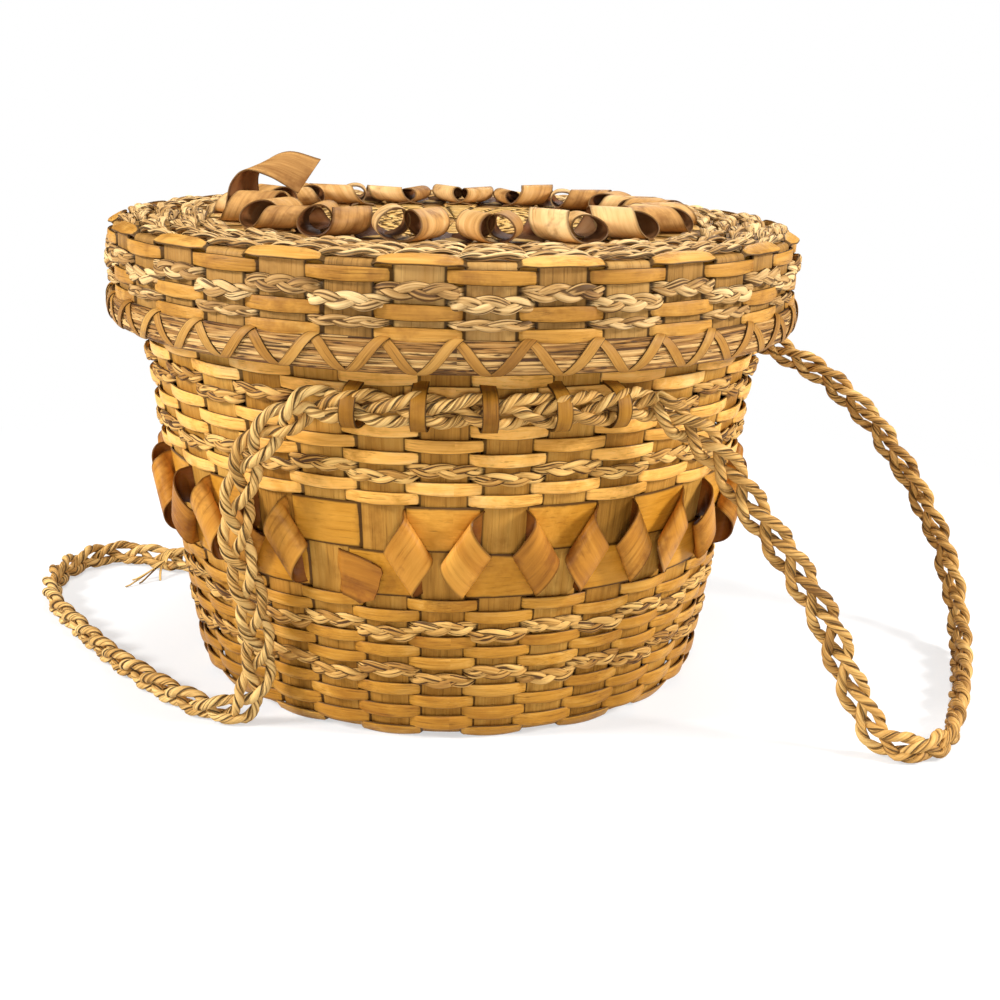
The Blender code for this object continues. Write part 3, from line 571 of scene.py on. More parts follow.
def add_splint(shape, face, places, widths, theta, thickness, tone, skew=0.0, crown=0.12, sink=0.0):
    """A flat splint of the frame that follows a face, with its outer side on it."""
    half = widths / 2
    c, n, edge, across = splint_section(half, thickness, crown)
    r, z, nr, nz, _, _ = face(places)
    off = n - thickness / 2 - crown - sink
    rr = r[:, None] + off * nr[:, None]
    zz = z[:, None] + off * nz[:, None]
    angle = np.broadcast_to(theta + skew, places.shape)
    points = polar(rr, angle[:, None] + c / np.maximum(rr, 0.8), zz)
    along = reach_along(np.stack([r, z], axis=1)) + CHANCE.uniform(0, 400)
    shape.add(points, along, across * half.max(), tone, edge=edge)


def add_sheet(shape, grid, thickness, tone, width, swap=False, fold_shade=None):
    """A thin strip over a grid of points: rows along it, columns across it."""
    normal = np.cross(np.gradient(grid, axis=1), np.gradient(grid, axis=0))
    normal = normal / np.maximum(np.linalg.norm(normal, axis=2, keepdims=True), 1e-9)
    outer = grid + normal * thickness / 2
    inner = grid - normal * thickness / 2
    stations = np.concatenate([outer, inner[:, ::-1]], axis=1)
    lengths = reach_along(grid.mean(axis=1)) + CHANCE.uniform(0, 400)
    c = np.linspace(-1, 1, grid.shape[1])
    places = np.concatenate([c, c[::-1]])
    inside = np.repeat([0.0, 1.0], len(c))
    # Wear and painted shade at the sheet's edges, painted shade near its folds, and a mark for its inner
    # side, whose painted shade the material adds.
    marks = np.abs(places) ** 8 * 0.8
    if fold_shade is not None:
        marks = np.maximum(marks, np.concatenate([fold_shade, fold_shade[:, ::-1]], axis=1))
    shape.add(stations, lengths, np.append(places, places[0]) * width / 2, tone,
              edge=marks, inner=inside if swap else 1 - inside)


# Body

ON_BODY = (BODY, BODY_TURN)


def make_wall_stakes():
    shape = Shape()
    places = np.concatenate([[0.15, 1.2, 2.6, 4.4, 6.6, 10.0], np.linspace(16, 187.6, 22)])
    for i in range(BODY):
        theta = BODY_TURN + BODY_PITCH * i + CHANCE.normal(0, 0.0012)
        widths = (0.815 * BODY_PITCH * wall_face(places)[0] + 0.4 * np.sin(places / 31.0 + i)
                  + CHANCE.normal(0, 0.25))
        add_splint(shape, wall_face, places, widths, theta, 0.8, CHANCE.uniform(0, 1))
    shape.make("body_uprights", "ash_stake", "basket", "ash_stake", "wall_stakes")


def make_bottom():
    """Splints that cross under the bottom, and the weavers that hold them flat."""
    shape = Shape()
    radii = np.array([0.9, 8, 16, 26, 40, 60, 80, 94, 101])
    widths = np.minimum(0.94 * TAU * radii / BODY, 15.4)
    for i in range(BODY):
        add_splint(shape, floor_face, radii, widths, BODY_TURN + BODY_PITCH * i, 0.7,
                   CHANCE.uniform(0, 1), crown=0.03, sink=0.012 * (i % 3))
    shape.make("bottom_splints", "ash_stake", "basket", "ash_stake", "base_splints")
    halves = {"inner": Shape(), "outer": Shape()}
    for row, radius in enumerate(np.arange(31.0, 99.5, 4.95)):
        woven_splint(halves["inner" if radius < 66 else "outer"], floor_face, radius, 2.35, ON_BODY,
                     row % 2, 0.55, 0.7, 2.4, bow=0.0, lens=0.04, per=8, wander=0.08, late=0.0)
    for half, weave in halves.items():
        weave.make("bottom_weave_" + half, "ash_weaver", "basket", "ash_weaver", "base_weaver_" + half)


def splint_course(name, node, middles, half, first_over):
    """Rows of flat weavers at the given heights, going up, with less bow at the floor and under the lid."""
    shape = Shape()
    for i, middle in enumerate(middles):
        size = half + 0.35 if middle < 14 else half
        bow = 0.5 if middle < 5 else 1.3 if middle < 148 else 0.3
        woven_splint(shape, wall_face, middle, size, ON_BODY, (first_over + i) % 2, 0.85, 0.8, 10.0,
                     bow=bow, tone=CHANCE.uniform(0.2, 0.7))
    # Rows above the bands take the brighter copy of ash_weaver: painted light in the shade under the lid
    # and the handle.
    shape.make(name, "ash_weaver_painted_light" if middles[0] > 98 else "ash_weaver", "basket", "ash_weaver", node)
    return first_over + len(middles)


def make_wall():
    """All rows of the wall from the foot up. Braids have half their width, courses their rows' heights."""
    low, high = levels("ash_course_collar")
    collar = [low + (high - low) / 8 * (i + 0.5) for i in range(8)]
    over = splint_course("foot_weavers", "ash_course_foot", [3.5, 7.7, 12.2, 17.1, 22.0], 2.5, 1)
    rows = [("sweetgrass_low_1", 3.3), ("sweetgrass_low_2", 3.3), ("ash_course_low", [34.0, 38.7, 42.9]),
            ("sweetgrass_below_bands_1", 3.2), ("sweetgrass_below_bands_2", 3.1),
            ("ash_course_below_bands", [53.6, 58.5]), ("wide_band_lower", None), ("wide_band_upper", None),
            ("ash_course_above_bands", [101.2, 105.7]), ("sweetgrass_above_bands_1", 2.8),
            ("sweetgrass_above_bands_2", 3.0), ("ash_course_high", [117.0, 122.2, 127.6]),
            ("sweetgrass_high_1", 2.9), ("sweetgrass_high_2", 2.9), ("ash_course_collar", collar)]
    for node, size in rows:
        if isinstance(size, list):
            over = splint_course(node + "_weavers", node, size, 2.45, over)
            continue
        low, high = levels(node)
        place = (wall_face, (low + high) / 2, size or (high - low) / 2, ON_BODY, over % 2)
        if size:
            make_row(woven_braid, node + "_braid", "sweetgrass", "basket", node, *place)
        else:
            make_row(woven_splint, node + "_splint", "ash_band", "basket", node, *place,
                     0.6, 0.6, 10.0, bow=0.15, lens=0.0, wander=0.05)
        over += 1


def add_hoop(shape, face, middle, halves, thickness, crown, out, radius):
    """A plain hoop that stands off a face."""
    theta = ring(len(middle))
    c, n, edge, across = splint_section(halves, thickness, crown)
    along = np.arange(len(theta) + 1) * TAU * radius / len(theta)
    shape.add(lay(face, middle, theta, c, n + out), along, across * 5, 0.4 + wobble(theta, 0.2),
              loop=True, edge=edge)


def make_rim_hoops():
    theta = ring(240)
    for name, node, out in (("rim_hoop_outside", "rim_hoop_outer", 1.1),
                            ("rim_hoop_inside", "rim_hoop_inner", -1.9)):
        low, high = levels(node)
        middle = (low + high) / 2 + wobble(theta, 0.12)
        halves = (high - low) / 2 * (1 + wobble(theta, 0.02))
        make_row(add_hoop, name, "ash_weaver", "basket", node,
                 wall_face, middle, halves, 1.5, 0.3, out, 136)


# Curls

def curl_grid(width, depth, strip, lead, rows, columns):
    """A strip that comes in level, rolls over once and leaves one strip lower.

    It gives right, up and out from the middle of the roll, then how far along the roll each point is,
    and how long the roll is.
    """
    t = np.linspace(0, TAU, 181)
    s = np.sin(t) * width / 2
    n = (1 - np.cos(t)) * depth / 2 * (1 + 0.12 * np.sin(t))
    roll = reach_along(np.stack([s, n], axis=1))
    girth = roll[-1]
    drop = 1.02 * strip
    lean = math.asin(min(0.95, drop / girth))
    shift = drop * math.tan(lean)
    heights = np.linspace(0.01 * strip, drop - 0.01 * strip, columns)
    lengths = np.linspace(-shift - lead, girth * math.cos(lean) + lead + shift, rows)
    xx, zz = np.meshgrid(lengths, heights, indexing="ij")
    ell = xx * math.cos(lean) + zz * math.sin(lean)
    a = xx * math.sin(lean) - zz * math.cos(lean)
    inside = np.clip(ell, 0, girth)
    ss = np.interp(inside, roll, s) + np.minimum(ell, 0) + np.maximum(ell - girth, 0)
    right = ss * math.cos(lean) + a * math.sin(lean)
    up = ss * math.sin(lean) - a * math.cos(lean)
    return right, up, np.interp(inside, roll, n), ell, girth


def near_fold(ell, girth, share):
    """1 where the roll begins and ends, falling to 0 within a share of it."""
    return np.clip(1 - np.minimum(ell, girth - ell) / (share * girth), 0, 1)


# How far some curls lie over to the left, as a share of how far they stand out
FLOP = {0: -0.45, 2: -0.4, 3: -0.75, 4: -1.0, 5: -1.0, BODY - 3: -0.35}
TORN = BODY - 2


def make_body_curls():
    """The strip rolls over in each gap, and dives behind the upright on each side of it."""
    shape = Shape()
    seam = (levels("wide_band_lower")[1] + levels("wide_band_upper")[0]) / 2
    r0, _, nr, nz, tr, tz = wall_face(seam)
    for k in range(BODY - 1):
        i = (TORN + 1 + k) % BODY
        theta = BODY_TURN + BODY_PITCH * (i + 0.5) - (0.018 if i == BODY - 3 else 0.0)
        right, up, out, ell, girth = curl_grid(14.0 + CHANCE.normal(0, 0.4), 7.8 + CHANCE.normal(0, 0.5),
                                               STRIP_WIDTH, 3.4, 64, 9)
        coming = np.clip((0.24 * girth - ell) / (0.08 * girth), 0, 1)
        going = np.clip((ell - 0.76 * girth) / (0.08 * girth), 0, 1)
        behind = np.maximum(coming * np.clip((-1.9 - right) / 1.3, 0, 1),
                            going * np.clip((right - 1.9) / 1.3, 0, 1))
        behind = np.maximum(behind, np.clip(np.maximum(-ell, ell - girth) / 1.5, 0, 1))
        out = (out + 1.0) * (1 - behind) - 1.3 * behind
        if i % 2 == 0:
            right = -right
        right = right + FLOP.get(i, CHANCE.normal(0, 0.12)) * np.maximum(out, 0)
        angle = theta + right / (r0 + up * tr)
        points = polar(r0 + up * tr + out * nr, angle, seam + up * tz + out * nz)
        # The strip is darkened near its folds: painted shade where it turns in behind.
        add_sheet(shape, points, 0.62, CHANCE.uniform(0.1, 0.8), STRIP_WIDTH, swap=i % 2 == 1,
                  fold_shade=0.62 * near_fold(ell, girth, 0.2))
    add_torn_end(shape, seam)
    shape.make("body_curls", "ash_curl", "basket", "ash_curl", "body_curl_strip")


def add_torn_end(shape, seam):
    """The strip's end comes out from behind an upright and is torn off ragged."""
    theta = BODY_TURN + BODY_PITCH * TORN - 0.034
    middle = seam - 9.6
    ragged = np.array([-5.0, 0.6, 1.6, 2.6, 3.2, 3.6, 4.6, 4.2, 1.0])
    row, column = np.meshgrid(np.linspace(0, 1, 16), np.linspace(-9.4, 8.6, len(ragged)), indexing="ij")
    reach = 6.0 + row * (15.5 + ragged)
    lift = (-1.3 + 2.6 * np.clip((reach - 7.0) / 2.5, 0, 1) + 2.4 * row ** 2
            + 0.4 * np.sin(column * 0.5 + row * 3))
    height = middle + column - 2.6 * row ** 1.5
    r, _, nr, nz, _, _ = wall_face(height)
    points = polar(r + lift * nr, theta + reach / r, height + lift * nz)
    add_sheet(shape, points, 0.6, -0.1, STRIP_WIDTH)


def make_lid_curls():
    """The strip rolls over in each gap of the lid's two bands, and its start has sprung up."""
    shape = Shape()
    seat = 190.9
    seam = 86.1
    sprung = 28
    for k in range(LID - 1):
        i = (sprung + 1 + k) % LID
        theta = LID_TURN + LID_PITCH * (i + 0.5)
        width = 11.8 + CHANCE.normal(0, 0.8)
        depth = 10.2 - 2.8 * (1 - math.cos(theta)) / 2 + CHANCE.normal(0, 0.8)
        right, up, out, ell, girth = curl_grid(width, depth, 15.4 + CHANCE.normal(0, 0.7), 1.6, 44, 7)
        dive = np.maximum(np.maximum(-ell, ell - girth) - 0.3, 0)
        out = out + 0.2 - np.minimum(dive * 1.2, 1.6)
        if i % 2 == 1:
            right = -right
        radius = seam - up
        angle = theta + CHANCE.normal(0, 0.012) + right / np.maximum(radius, 60.0)
        points = polar(radius, angle, seat + out)
        # The strip is darkened near its folds: painted shade where it turns in behind.
        add_sheet(shape, points, 0.62, CHANCE.uniform(0, 1) * 0.9, 15.4, swap=i % 2 == 0,
                  fold_shade=0.58 * near_fold(ell, girth, 0.16))
    add_sprung_curl(shape)
    shape.make("lid_curls", "lid_curl", "lid", "ash_curl", "lid_curl_strip")


def add_sprung_curl(shape):
    """The start of the strip stands up over the lid, between the lines of its two edges."""
    near = catmull([(-92.6, -35.0, 190.6), (-93.0, -32.6, 193.6), (-92.6, -31, 198), (-90.8, -29, 205.5),
                    (-85.5, -27, 210.2), (-75.5, -28, 208.0), (-64.2, -29, 201.7)], 7)
    far = catmull([(-80.4, -20.0, 190.6), (-80.6, -18.6, 193.2), (-81.2, -17.2, 199),
                   (-81.4, -17.4, 207.6), (-77.5, -19, 213.6), (-67.8, -22, 217.8), (-55.3, -24, 215.2)], 7)
    columns = np.linspace(0, 1, 8)[None, :, None]
    add_sheet(shape, near[:, None, :] * (1 - columns) + far[:, None, :] * columns, 0.7, -0.1, 17.0)


# Carrying braid

RUN_START = math.radians(-19.5)
RUN_END = math.radians(29.0)
STRAP_ANGLES = [math.radians(a) for a in (-15.5, -5.3, 4.9, 15.6, 25.0)]
SIDES = (("front", 0.0), ("back", math.pi - RUN_START - RUN_END))
BRAID_Z = 137.25
BRAID_R = 137.4
LEAD_R = 138.5

# The routes of the two bights, as in the part's source
LEFT_BIGHT = [
    (-56, -129, 134), (-65, -124, 127), (-73, -120, 117), (-77.5, -116.5, 104),
    (-80, -114, 90), (-80, -111.5, 76), (-77.5, -108, 62), (-75.5, -104, 46),
    (-74.5, -100, 31), (-76.5, -98.5, 17), (-82, -98.5, 8.5), (-93, -96, 6.4),
    (-106, -87, 6.4), (-122, -70, 6.4), (-143, -44, 6.4), (-166, -9, 6.4),
    (-185, 23, 6.4), (-193, 51, 6.4), (-192, 74, 6.4), (-182, 93, 6.4),
    (-166, 98.5, 6.4), (-149, 92, 6.4), (-133, 87, 6.8), (-119, 90, 8.5),
    (-106, 98.5, 14), (-96, 109, 26), (-89, 118, 44), (-84, 123, 65),
    (-80, 124.5, 88), (-75.5, 125, 110), (-70, 125.5, 126),
]
RIGHT_BIGHT = [
    (75, -121, 135), (87, -117, 127), (99, -114, 115), (111, -112, 98),
    (126, -112, 78), (140, -113, 58), (150, -115, 38), (158, -117, 20),
    (165, -121, 10), (173, -126, 6.8), (183, -127, 6.4), (194, -117, 6.4),
    (205, -96, 6.4), (216, -68, 6.4), (227, -37, 7.5), (235, -8, 12),
    (237, 14, 27), (233, 29, 45), (224, 43, 65), (210, 54, 86),
    (193, 62, 104), (175, 69, 117), (155, 79, 126), (133, 93, 132),
    (110, 106, 135.5), (90, 114.5, 137),
]


def even_steps(line, step):
    """Points along a line at nearly the given distance, both ends kept."""
    reach = reach_along(line)
    wanted = np.linspace(0, reach[-1], round(reach[-1] / step) + 1)
    return np.stack([np.interp(wanted, reach, line[:, k]) for k in range(3)], axis=1)


def bight_line(route, start, end):
    """The way of a free bight from a run's end at one angle to the other run's at another."""
    up = np.array([0, 0, BRAID_Z])
    lead = 6.0
    leaving = radial(start) * LEAD_R + up + sideways(start) * lead
    arriving = radial(end) * LEAD_R + up - sideways(end) * lead
    first, last = (radial(angle) * BRAID_R + up for angle in (start, end))
    return catmull([first, leaving, *route, arriving, last], 14)


def carried_frames(points, first, last):
    """Normals carried along a line without twist, then eased to end on the last one."""
    tangent = unit(np.gradient(points, axis=0))
    normal = np.zeros_like(points)
    normal[0] = square_to(first, tangent[0])
    for i in range(1, len(points)):
        normal[i] = square_to(normal[i - 1], tangent[i])
    goal = square_to(last, tangent[-1])
    off = math.atan2(np.cross(normal[-1], goal) @ tangent[-1], normal[-1] @ goal)
    twist = (off * np.linspace(0, 1, len(points)))[:, None]
    return tangent, normal * np.cos(twist) + np.cross(tangent, normal) * np.sin(twist)


def plaited(shape, points, tangent, normal, half, depth, periods, twists, tones):
    """Three strands plaited along a line, each of two plies twisted together."""
    length = reach_along(points)
    share = length / length[-1]
    side = np.cross(normal, tangent)
    uneven = CHANCE.uniform(0, TAU, 3)
    ease = np.sin(math.pi * share) ** 0.5
    ply_out = 1.02
    ply_wide = 1.62
    ply_thick = 1.22
    floor_clear = 2.85
    for strand in range(3):
        phase = TAU * (periods * share + strand / 3)
        phase = phase + 0.18 * ease * np.sin(TAU * 5.3 * share + uneven[strand])
        c = half * np.sin(phase) * (1 + 0.06 * ease * np.sin(TAU * 7.1 * share + uneven[strand] * 2))
        n = depth * np.sin(2 * phase)
        line = points + side * c[:, None] + normal * n[:, None]
        line[:, 2] = np.maximum(line[:, 2], floor_clear)
        strand_tangent = unit(np.gradient(line, axis=0))
        out = square_to(normal, strand_tangent)
        over = np.cross(strand_tangent, out)
        for ply in range(2):
            turn = -TAU * twists * share + math.pi * ply + strand
            off = np.cos(turn)[:, None] * out + np.sin(turn)[:, None] * over
            swell = 1 + 0.05 * ease * np.sin(TAU * 11.0 * share + uneven[(strand + ply) % 3])
            tone = tones[strand] + 0.12 * ply + 0.12 * np.sin(TAU * 3 * share * periods / 9 + strand)
            add_strand(shape, line + ply_out * off, off, ply_wide * swell, ply_thick * swell, tone,
                       sides=12, flanks=1)


def make_carrying_braid():
    """Two flat runs on the wall, and the two free bights between them."""
    tones = [0.35, 0.6, 0.5]
    for name, turn in SIDES:
        angles = turn + np.linspace(RUN_START, RUN_END, 160)
        line = even_steps(polar(BRAID_R + 0 * angles, angles, BRAID_Z), 0.9)
        tangent = unit(np.gradient(line, axis=0))
        normal = radial(np.arctan2(line[:, 0], -line[:, 1]))
        shape = Shape()
        plaited(shape, line, tangent, normal, 4.5, 1.9, 2, 9, tones)
        shape.make("carrying_braid_" + name, "braided_cord", "basket", "braided_cord", "handle_run_" + name)
    for name, route, start, end, worn in (
            ("right", RIGHT_BIGHT, RUN_END, math.pi - RUN_END, -0.16),
            ("left", LEFT_BIGHT[::-1], math.pi - RUN_START, TAU + RUN_START, 0.22)):
        line = even_steps(bight_line(route, start, end), 1.1)
        # What lies on the floor is lowered until it touches
        line[:, 2] -= 1.3 * np.clip((14.0 - line[:, 2]) / 6.5, 0, 1)
        tangent, normal = carried_frames(line, radial(start), radial(end))
        length = reach_along(line)
        girth = length[-1]
        free = np.clip(np.minimum(length, girth - length) / 24.0, 0, 1)
        free = free * free * (3 - 2 * free)
        shape = Shape()
        plaited(shape, line, tangent, normal, 4.5 + 0.35 * free, 1.9 - 0.25 * free,
                round(girth / 52.0), round(girth * 1.1 / 14.8), [tone + worn for tone in tones])
        bight = shape.make("carrying_braid_" + name, "braided_cord", "basket", "braided_cord",
                           "handle_bight_" + name)
        pieces = [make_tie(line, tangent)] if name == "left" else []


def make_tie(line, tangent):
    """A few turns of pale grass tied round the left bight, with their ends hanging free."""
    place = int(np.argmin(np.linalg.norm(line - np.array([-142.0, 90.0, 6.0]), axis=1)))
    middle = line[place]
    along = tangent[place]
    up = square_to(np.array([0.0, 0.0, 1.0]), along)
    side = np.cross(along, up)
    outwards = -side * np.sign(side[1])
    shape = Shape()
    angle = np.linspace(0, TAU, 40)
    for turn in range(4):
        shift = (turn - 1.5) * 1.25 + 0.9 * np.sin(angle / 2 + turn)
        wound = (middle + along * shift[:, None] + side * (7.2 * np.cos(angle))[:, None]
                 + up * (5.0 * np.sin(angle) + 0.3)[:, None])
        add_strand(shape, wound, wound - middle, 0.75, 0.45, 1.3 + 0.1 * turn, sides=6)
    t = np.linspace(0, 1, 14)[:, None]
    for reach, swing in ((20.0, 3.0), (12.0, -4.0), (27.0, 6.5), (17.0, 9.0)):
        end = middle + outwards * (6.0 + reach * t) + along * swing * t ** 2 + up * (2.0 - 7.0 * t ** 1.4)
        end[:, 2] = np.maximum(end[:, 2], 0.6)
        add_strand(shape, end, np.tile(up, (len(t), 1)), 0.6, 0.35, 1.5, sides=6)
    return shape.make("bight_tie", "sweetgrass", "basket", "sweetgrass")


def make_straps():
    """Splint straps that hold the flat runs of the braid to the wall."""
    arch = catmull([(-1.2, 128.9), (0.9, 129.7), (3.2, 130.0), (7.5, 130.6), (11.8, 132.4), (13.9, 137.3),
                    (11.8, 142.4), (7.5, 144.5), (3.2, 144.9), (0.9, 145.2), (-1.2, 146.0)], 4)
    out, height = arch.T
    r, z, nr, nz, _, _ = wall_face(height)
    half = 2.9
    columns = np.linspace(-half, half, 5)
    bulge = 0.25 * (1 - (columns / half) ** 2)
    for side, turn in SIDES:
        for k, angle in enumerate(STRAP_ANGLES):
            shape = Shape()
            slope = angle + turn + 0.05 * CHANCE.uniform(-1, 1) * (height - 137) / 137
            away = (r + out * nr)[:, None] + bulge
            grid = (radial(slope)[:, None] * away[..., None]
                    + sideways(slope)[:, None] * columns[:, None]
                    + np.array([0, 0, 1.0]) * (z + out * nz)[:, None, None])
            add_sheet(shape, grid[:, ::-1], 0.8, CHANCE.uniform(0.2, 0.8), 2 * half)
            shape.make(f"strap_{side}_{k + 1}", "strap", "basket", "ash_stake",
                       f"handle_loop_{side}_{k + 1}")


# Lid

ON_LID = (LID, LID_TURN)
ON_LID_SIDE = (LID, LID_SIDE_TURN)


def lid_skew_at(radius):
    """How far the lid's splints are turned at a radius: they lean over towards the edge."""
    return LID_SKEW * np.clip((radius - 86.0) / 54.0, 0, 1)


def make_lid_splints():
    shape = Shape()
    low = levels("lid_side_splints")[0]
    radii = np.concatenate([[0.9, 4, 9, 16, 24, 34, 46, 58], np.linspace(68, 138, 12)])
    side = np.concatenate([np.linspace(190.3, LID_BEND, 7), np.linspace(184, low, 9)])
    places = np.concatenate([on_lid_top(radii), side])
    reach = np.concatenate([radii, np.full(len(side), LID_R)])
    for i in range(LID):
        widths = np.minimum(0.90 * LID_PITCH * reach, 18.8 + CHANCE.normal(0, 0.3))
        add_splint(shape, lid_face, places, widths, LID_TURN + LID_PITCH * i, 0.8, CHANCE.uniform(0, 1),
                   skew=lid_skew_at(reach) + CHANCE.normal(0, 0.0015), sink=0.02 * (i % 3))
    shape.make("lid_splints", "lid_stake", "lid", "ash_stake", "lid_side_splints", "lid_top_splints")


def make_lid_top():
    middle = Shape()
    for row, radius in enumerate(np.arange(13.0, 66, 3.25)):
        woven_splint(middle, lid_face, on_lid_top(radius), 1.62, ON_LID, row % 2, 0.6, 0.75, 2.2,
                     bow=0.0, lens=0.05, per=8, wander=0.08, late=0.0)
    middle.make("lid_middle_weavers", "lid_weaver", "lid", "ash_weaver", "lid_middle_weave")
    for name, node, radius, over in (("lid_band_inside_splint", "lid_band_inner", 76.6, 0),
                                     ("lid_band_outside_splint", "lid_band_outer", 95.0, 1)):
        make_row(woven_splint, name, "lid_weaver", "lid", node, lid_face, on_lid_top(radius), 8.9, ON_LID,
                 over, 0.7, 0.8, 3.0, bow=0.1, lens=0.0, wander=0.05)
    for k in range(6):
        radius = 104.3 + 5.87 * (k + 0.5)
        make_row(woven_braid, f"lid_top_grass_braid_{k + 1}", "lid_grass", "lid", f"lid_top_braid_{k + 1}",
                 lid_face, on_lid_top(radius), 3.15, (LID, LID_TURN + lid_skew_at(radius)), k % 2,
                 thickness=2.7, steep=2.8, period=36.0)


def make_lid_side():
    """The rows of the lid's side, each with its height, half its width and which splint it is over."""
    rows = [("lid_ash_row_high", 184.4, 2.45, 1), ("lid_side_braid_upper", 179.5, 3.3, 0),
            ("lid_side_braid_lower", 175.3, 3.3, 1), ("lid_ash_row_middle", 172.0, 2.55, 0),
            ("lid_thin_braid", 168.3, 2.2, 1), ("lid_ash_row_low", 164.5, 2.4, 0)]
    make_row(woven_splint, "lid_shoulder_splint", "lid_side_weaver", "lid", "lid_shoulder_row",
             lid_face, 189.3, 3.3, ON_LID_SIDE, 0, 0.8, 0.8, 7.0, bow=0.5, lens=0.0, wander=0.08,
             point=0.55)
    for node, middle, half, over in rows:
        place = (lid_face, middle, half, ON_LID_SIDE, over)
        if "braid" in node:
            make_row(woven_braid, node + "_grass", "lid_grass", "lid", node, *place,
                     thickness=3.2 if half > 3 else 2.3, steep=3.6)
        else:
            make_row(woven_splint, node + "_splint", "lid_side_weaver", "lid", node, *place,
                     0.8, 0.8, 10.0, bow=1.1, wander=0.08)


def on_bundle(alpha, out):
    """Radius and height on the round of the rim's bundle, out past its face."""
    return 142.9 + (1.9 + out) * np.cos(alpha), 157.0 + (5.2 + out) * np.sin(alpha)


def make_rim():
    """Strands of loose grass round the lid's edge, with a hoop inside them."""
    shape = Shape()
    theta = ring(420)
    guide = radial(theta)
    shown = 13
    for k in range(shown):
        alpha = math.radians(-94 + 188 * k / (shown - 1)) + wobble(theta, 0.035, 4, 2, 14)
        r, z = on_bundle(alpha, -0.15 + wobble(theta, 0.16, 4, 3, 20))
        tone = CHANCE.uniform(0, 1) + wobble(theta, 0.3)
        add_strand(shape, polar(r, theta, z), guide, 0.98, 0.85, tone, loop=True, sides=6)
    for k in range(6):
        r = 142.4 + wobble(theta, 0.2)
        z = 152.8 + 1.7 * k + wobble(theta, 0.3)
        add_strand(shape, polar(r, theta, z), guide, 1.2, 1.6, CHANCE.uniform(0, 0.6), loop=True, sides=6)
    shape.make("rim_grass_bundle", "rim_grass", "lid", "rim_grass", "lid_rim_bundle")
    low, high = levels("lid_rim_hoop_inner")
    one = np.ones_like(theta)
    make_row(add_hoop, "lid_inner_hoop", "lid_weaver", "lid", "lid_rim_hoop_inner", lid_face,
             one * (low + high) / 2, one * (high - low) / 2, 1.3, 0.2, -1.75, 140)


def make_lashing():
    """One splint bound round the rim in slanted turns, two legs at each gap of the lid's splints."""
    shape = Shape()
    t = np.linspace(0, 1, 18)
    alpha = np.radians(-112 + 212 * t)
    slide = np.clip((t - 0.08) / 0.84, 0, 1)
    columns = np.linspace(-1, 1, 6)[None, :]
    radius = 144.0
    bundle = 5.6
    rise = 13.4
    half = 1.95
    for i in range(LID):
        bottom = LID_SIDE_TURN + LID_PITCH * i
        top = bottom + LID_PITCH / 2
        for foot, head, lift in ((bottom - 0.006, top + 0.012, 0.55),
                                 (bottom + LID_PITCH + 0.006, top - 0.004, 0.02)):
            angle = foot + (head - foot) * slide
            out = 0.80 + lift * np.clip((t - 0.35) / 0.4, 0, 1)
            out = np.where(t > 0.93, out - 1.2 * (t - 0.93) / 0.07, out)
            steep = math.atan2(rise, (head - foot) * radius)
            r, z = on_bundle(alpha[:, None] - columns * math.cos(steep) * half / bundle,
                             out[:, None] + 0.10 * (1 - columns ** 2))
            grid = polar(r, angle[:, None] + columns * math.sin(steep) * half / radius, z)
            facing = np.cross(grid[9, 1] - grid[9, 0], grid[10, 0] - grid[9, 0]) @ radial(angle[9])
            if facing < 0:
                grid = grid[:, ::-1]
            add_sheet(shape, grid, 0.6, CHANCE.uniform(0.1, 0.9), 4.0)
    shape.make("rim_lashing", "lash", "lid", "ash_weaver", "lid_rim_lashing")


# Floor and light

WHITE = (1.0, 1.0, 1.0)
FLOOR_BOUNCE = (0.45, 0.45, 0.45)
WORLD_LIGHT = 0.05

# Place, size and power of each lamp
LAMPS = {
    "left": ((-1.15, -0.40, 0.72), 0.30, 20.4),
    "right": ((1.15, -0.35, 0.72), 0.30, 20.4),
    "front": ((-0.15, -1.10, 0.95), 0.26, 2.6),
    "low": ((0.05, -1.30, 0.26), 0.26, 6.2),
    "back": ((0.35, 1.10, 1.05), 0.60, 6.0),
    "top": ((0.0, 0.10, 1.5), 0.4, 8.6),
}


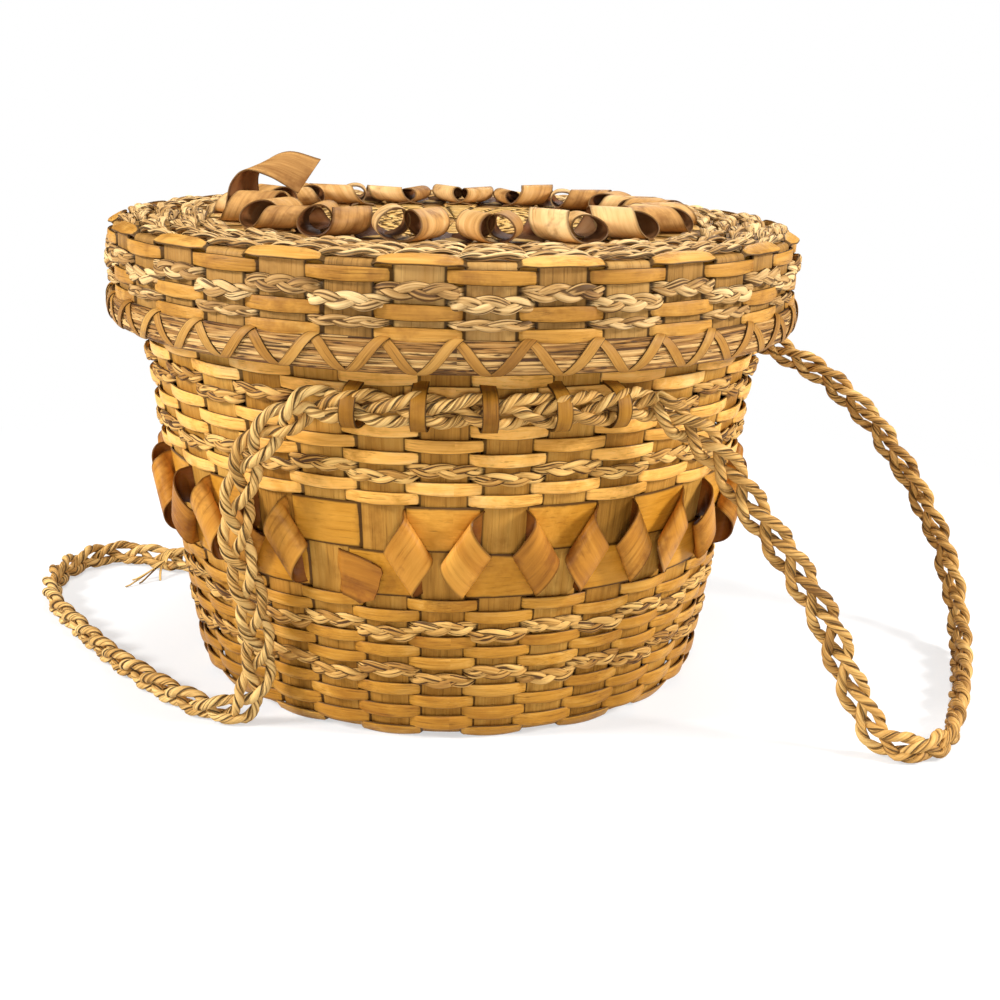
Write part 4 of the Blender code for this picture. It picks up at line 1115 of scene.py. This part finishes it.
def make_floor():
    """A floor that looks white and keeps the basket's shadow, and fades to plain white further out."""
    bpy.ops.mesh.primitive_plane_add(size=12, location=(0, 0, 0))
    floor = bpy.context.object
    floor.name = "floor"
    n = Nodes(bpy.data.materials.new("pale_floor"))
    shader = n.tree.nodes["Principled BSDF"]
    rays = n.add("ShaderNodeLightPath").outputs
    seen = n.math("MAXIMUM", rays["Is Camera Ray"], rays["Is Glossy Ray"])
    seen = n.math("MAXIMUM", seen, rays["Is Transmission Ray"])
    n.fill(shader, {"Base Color": n.mix(seen, FLOOR_BOUNCE, WHITE), "Roughness": 0.9,
                    "Specular IOR Level": 0.1})
    reach = n.add("ShaderNodeVectorMath", {0: n.place()}, operation="LENGTH").outputs["Value"]
    far = n.math("MAXIMUM", n.smooth(reach, 0.20, 0.50), 0.55)
    white = n.add("ShaderNodeEmission", {"Color": WHITE})
    share = n.times(seen, far)
    blended = n.add("ShaderNodeMixShader", {0: share, 1: shader.outputs[0], 2: white.outputs[0]})
    n.fill(n.tree.nodes["Material Output"], {"Surface": blended.outputs[0]})
    floor.data.materials.append(n.owner)


def make_light():
    """A world that is white to look at and gives little light, and the lamps."""
    world = bpy.data.worlds.new("studio")
    bpy.context.scene.world = world
    n = Nodes(world)
    rays = n.add("ShaderNodeLightPath").outputs
    seen = n.math("MAXIMUM", rays["Is Camera Ray"], rays["Is Transmission Ray"])
    level = n.add("ShaderNodeMix", {0: seen, 2: WORLD_LIGHT, 3: 1.0}, data_type="FLOAT")
    n.fill(n.tree.nodes["Background"], {"Color": WHITE, "Strength": level.outputs[0]})
    for name, (place, size, power) in LAMPS.items():
        lamp = bpy.data.lights.new(name, "AREA")
        lamp.size = size
        lamp.energy = power
        holder = add_object(name, lamp)
        holder.location = place
        aim = Vector((0, 0, 0.09)) - Vector(place)
        holder.rotation_euler = aim.to_track_quat("-Z", "Y").to_euler()


set_camera()
MATERIALS = make_materials()
for make in (make_carrying_braid, make_wall_stakes, make_bottom, make_wall, make_rim_hoops,
             make_body_curls, make_straps, make_lid_splints, make_lid_top, make_lid_side, make_rim,
             make_lashing, make_lid_curls, make_floor, make_light):
    make()
bpy.context.scene.view_settings.view_transform = "Standard"
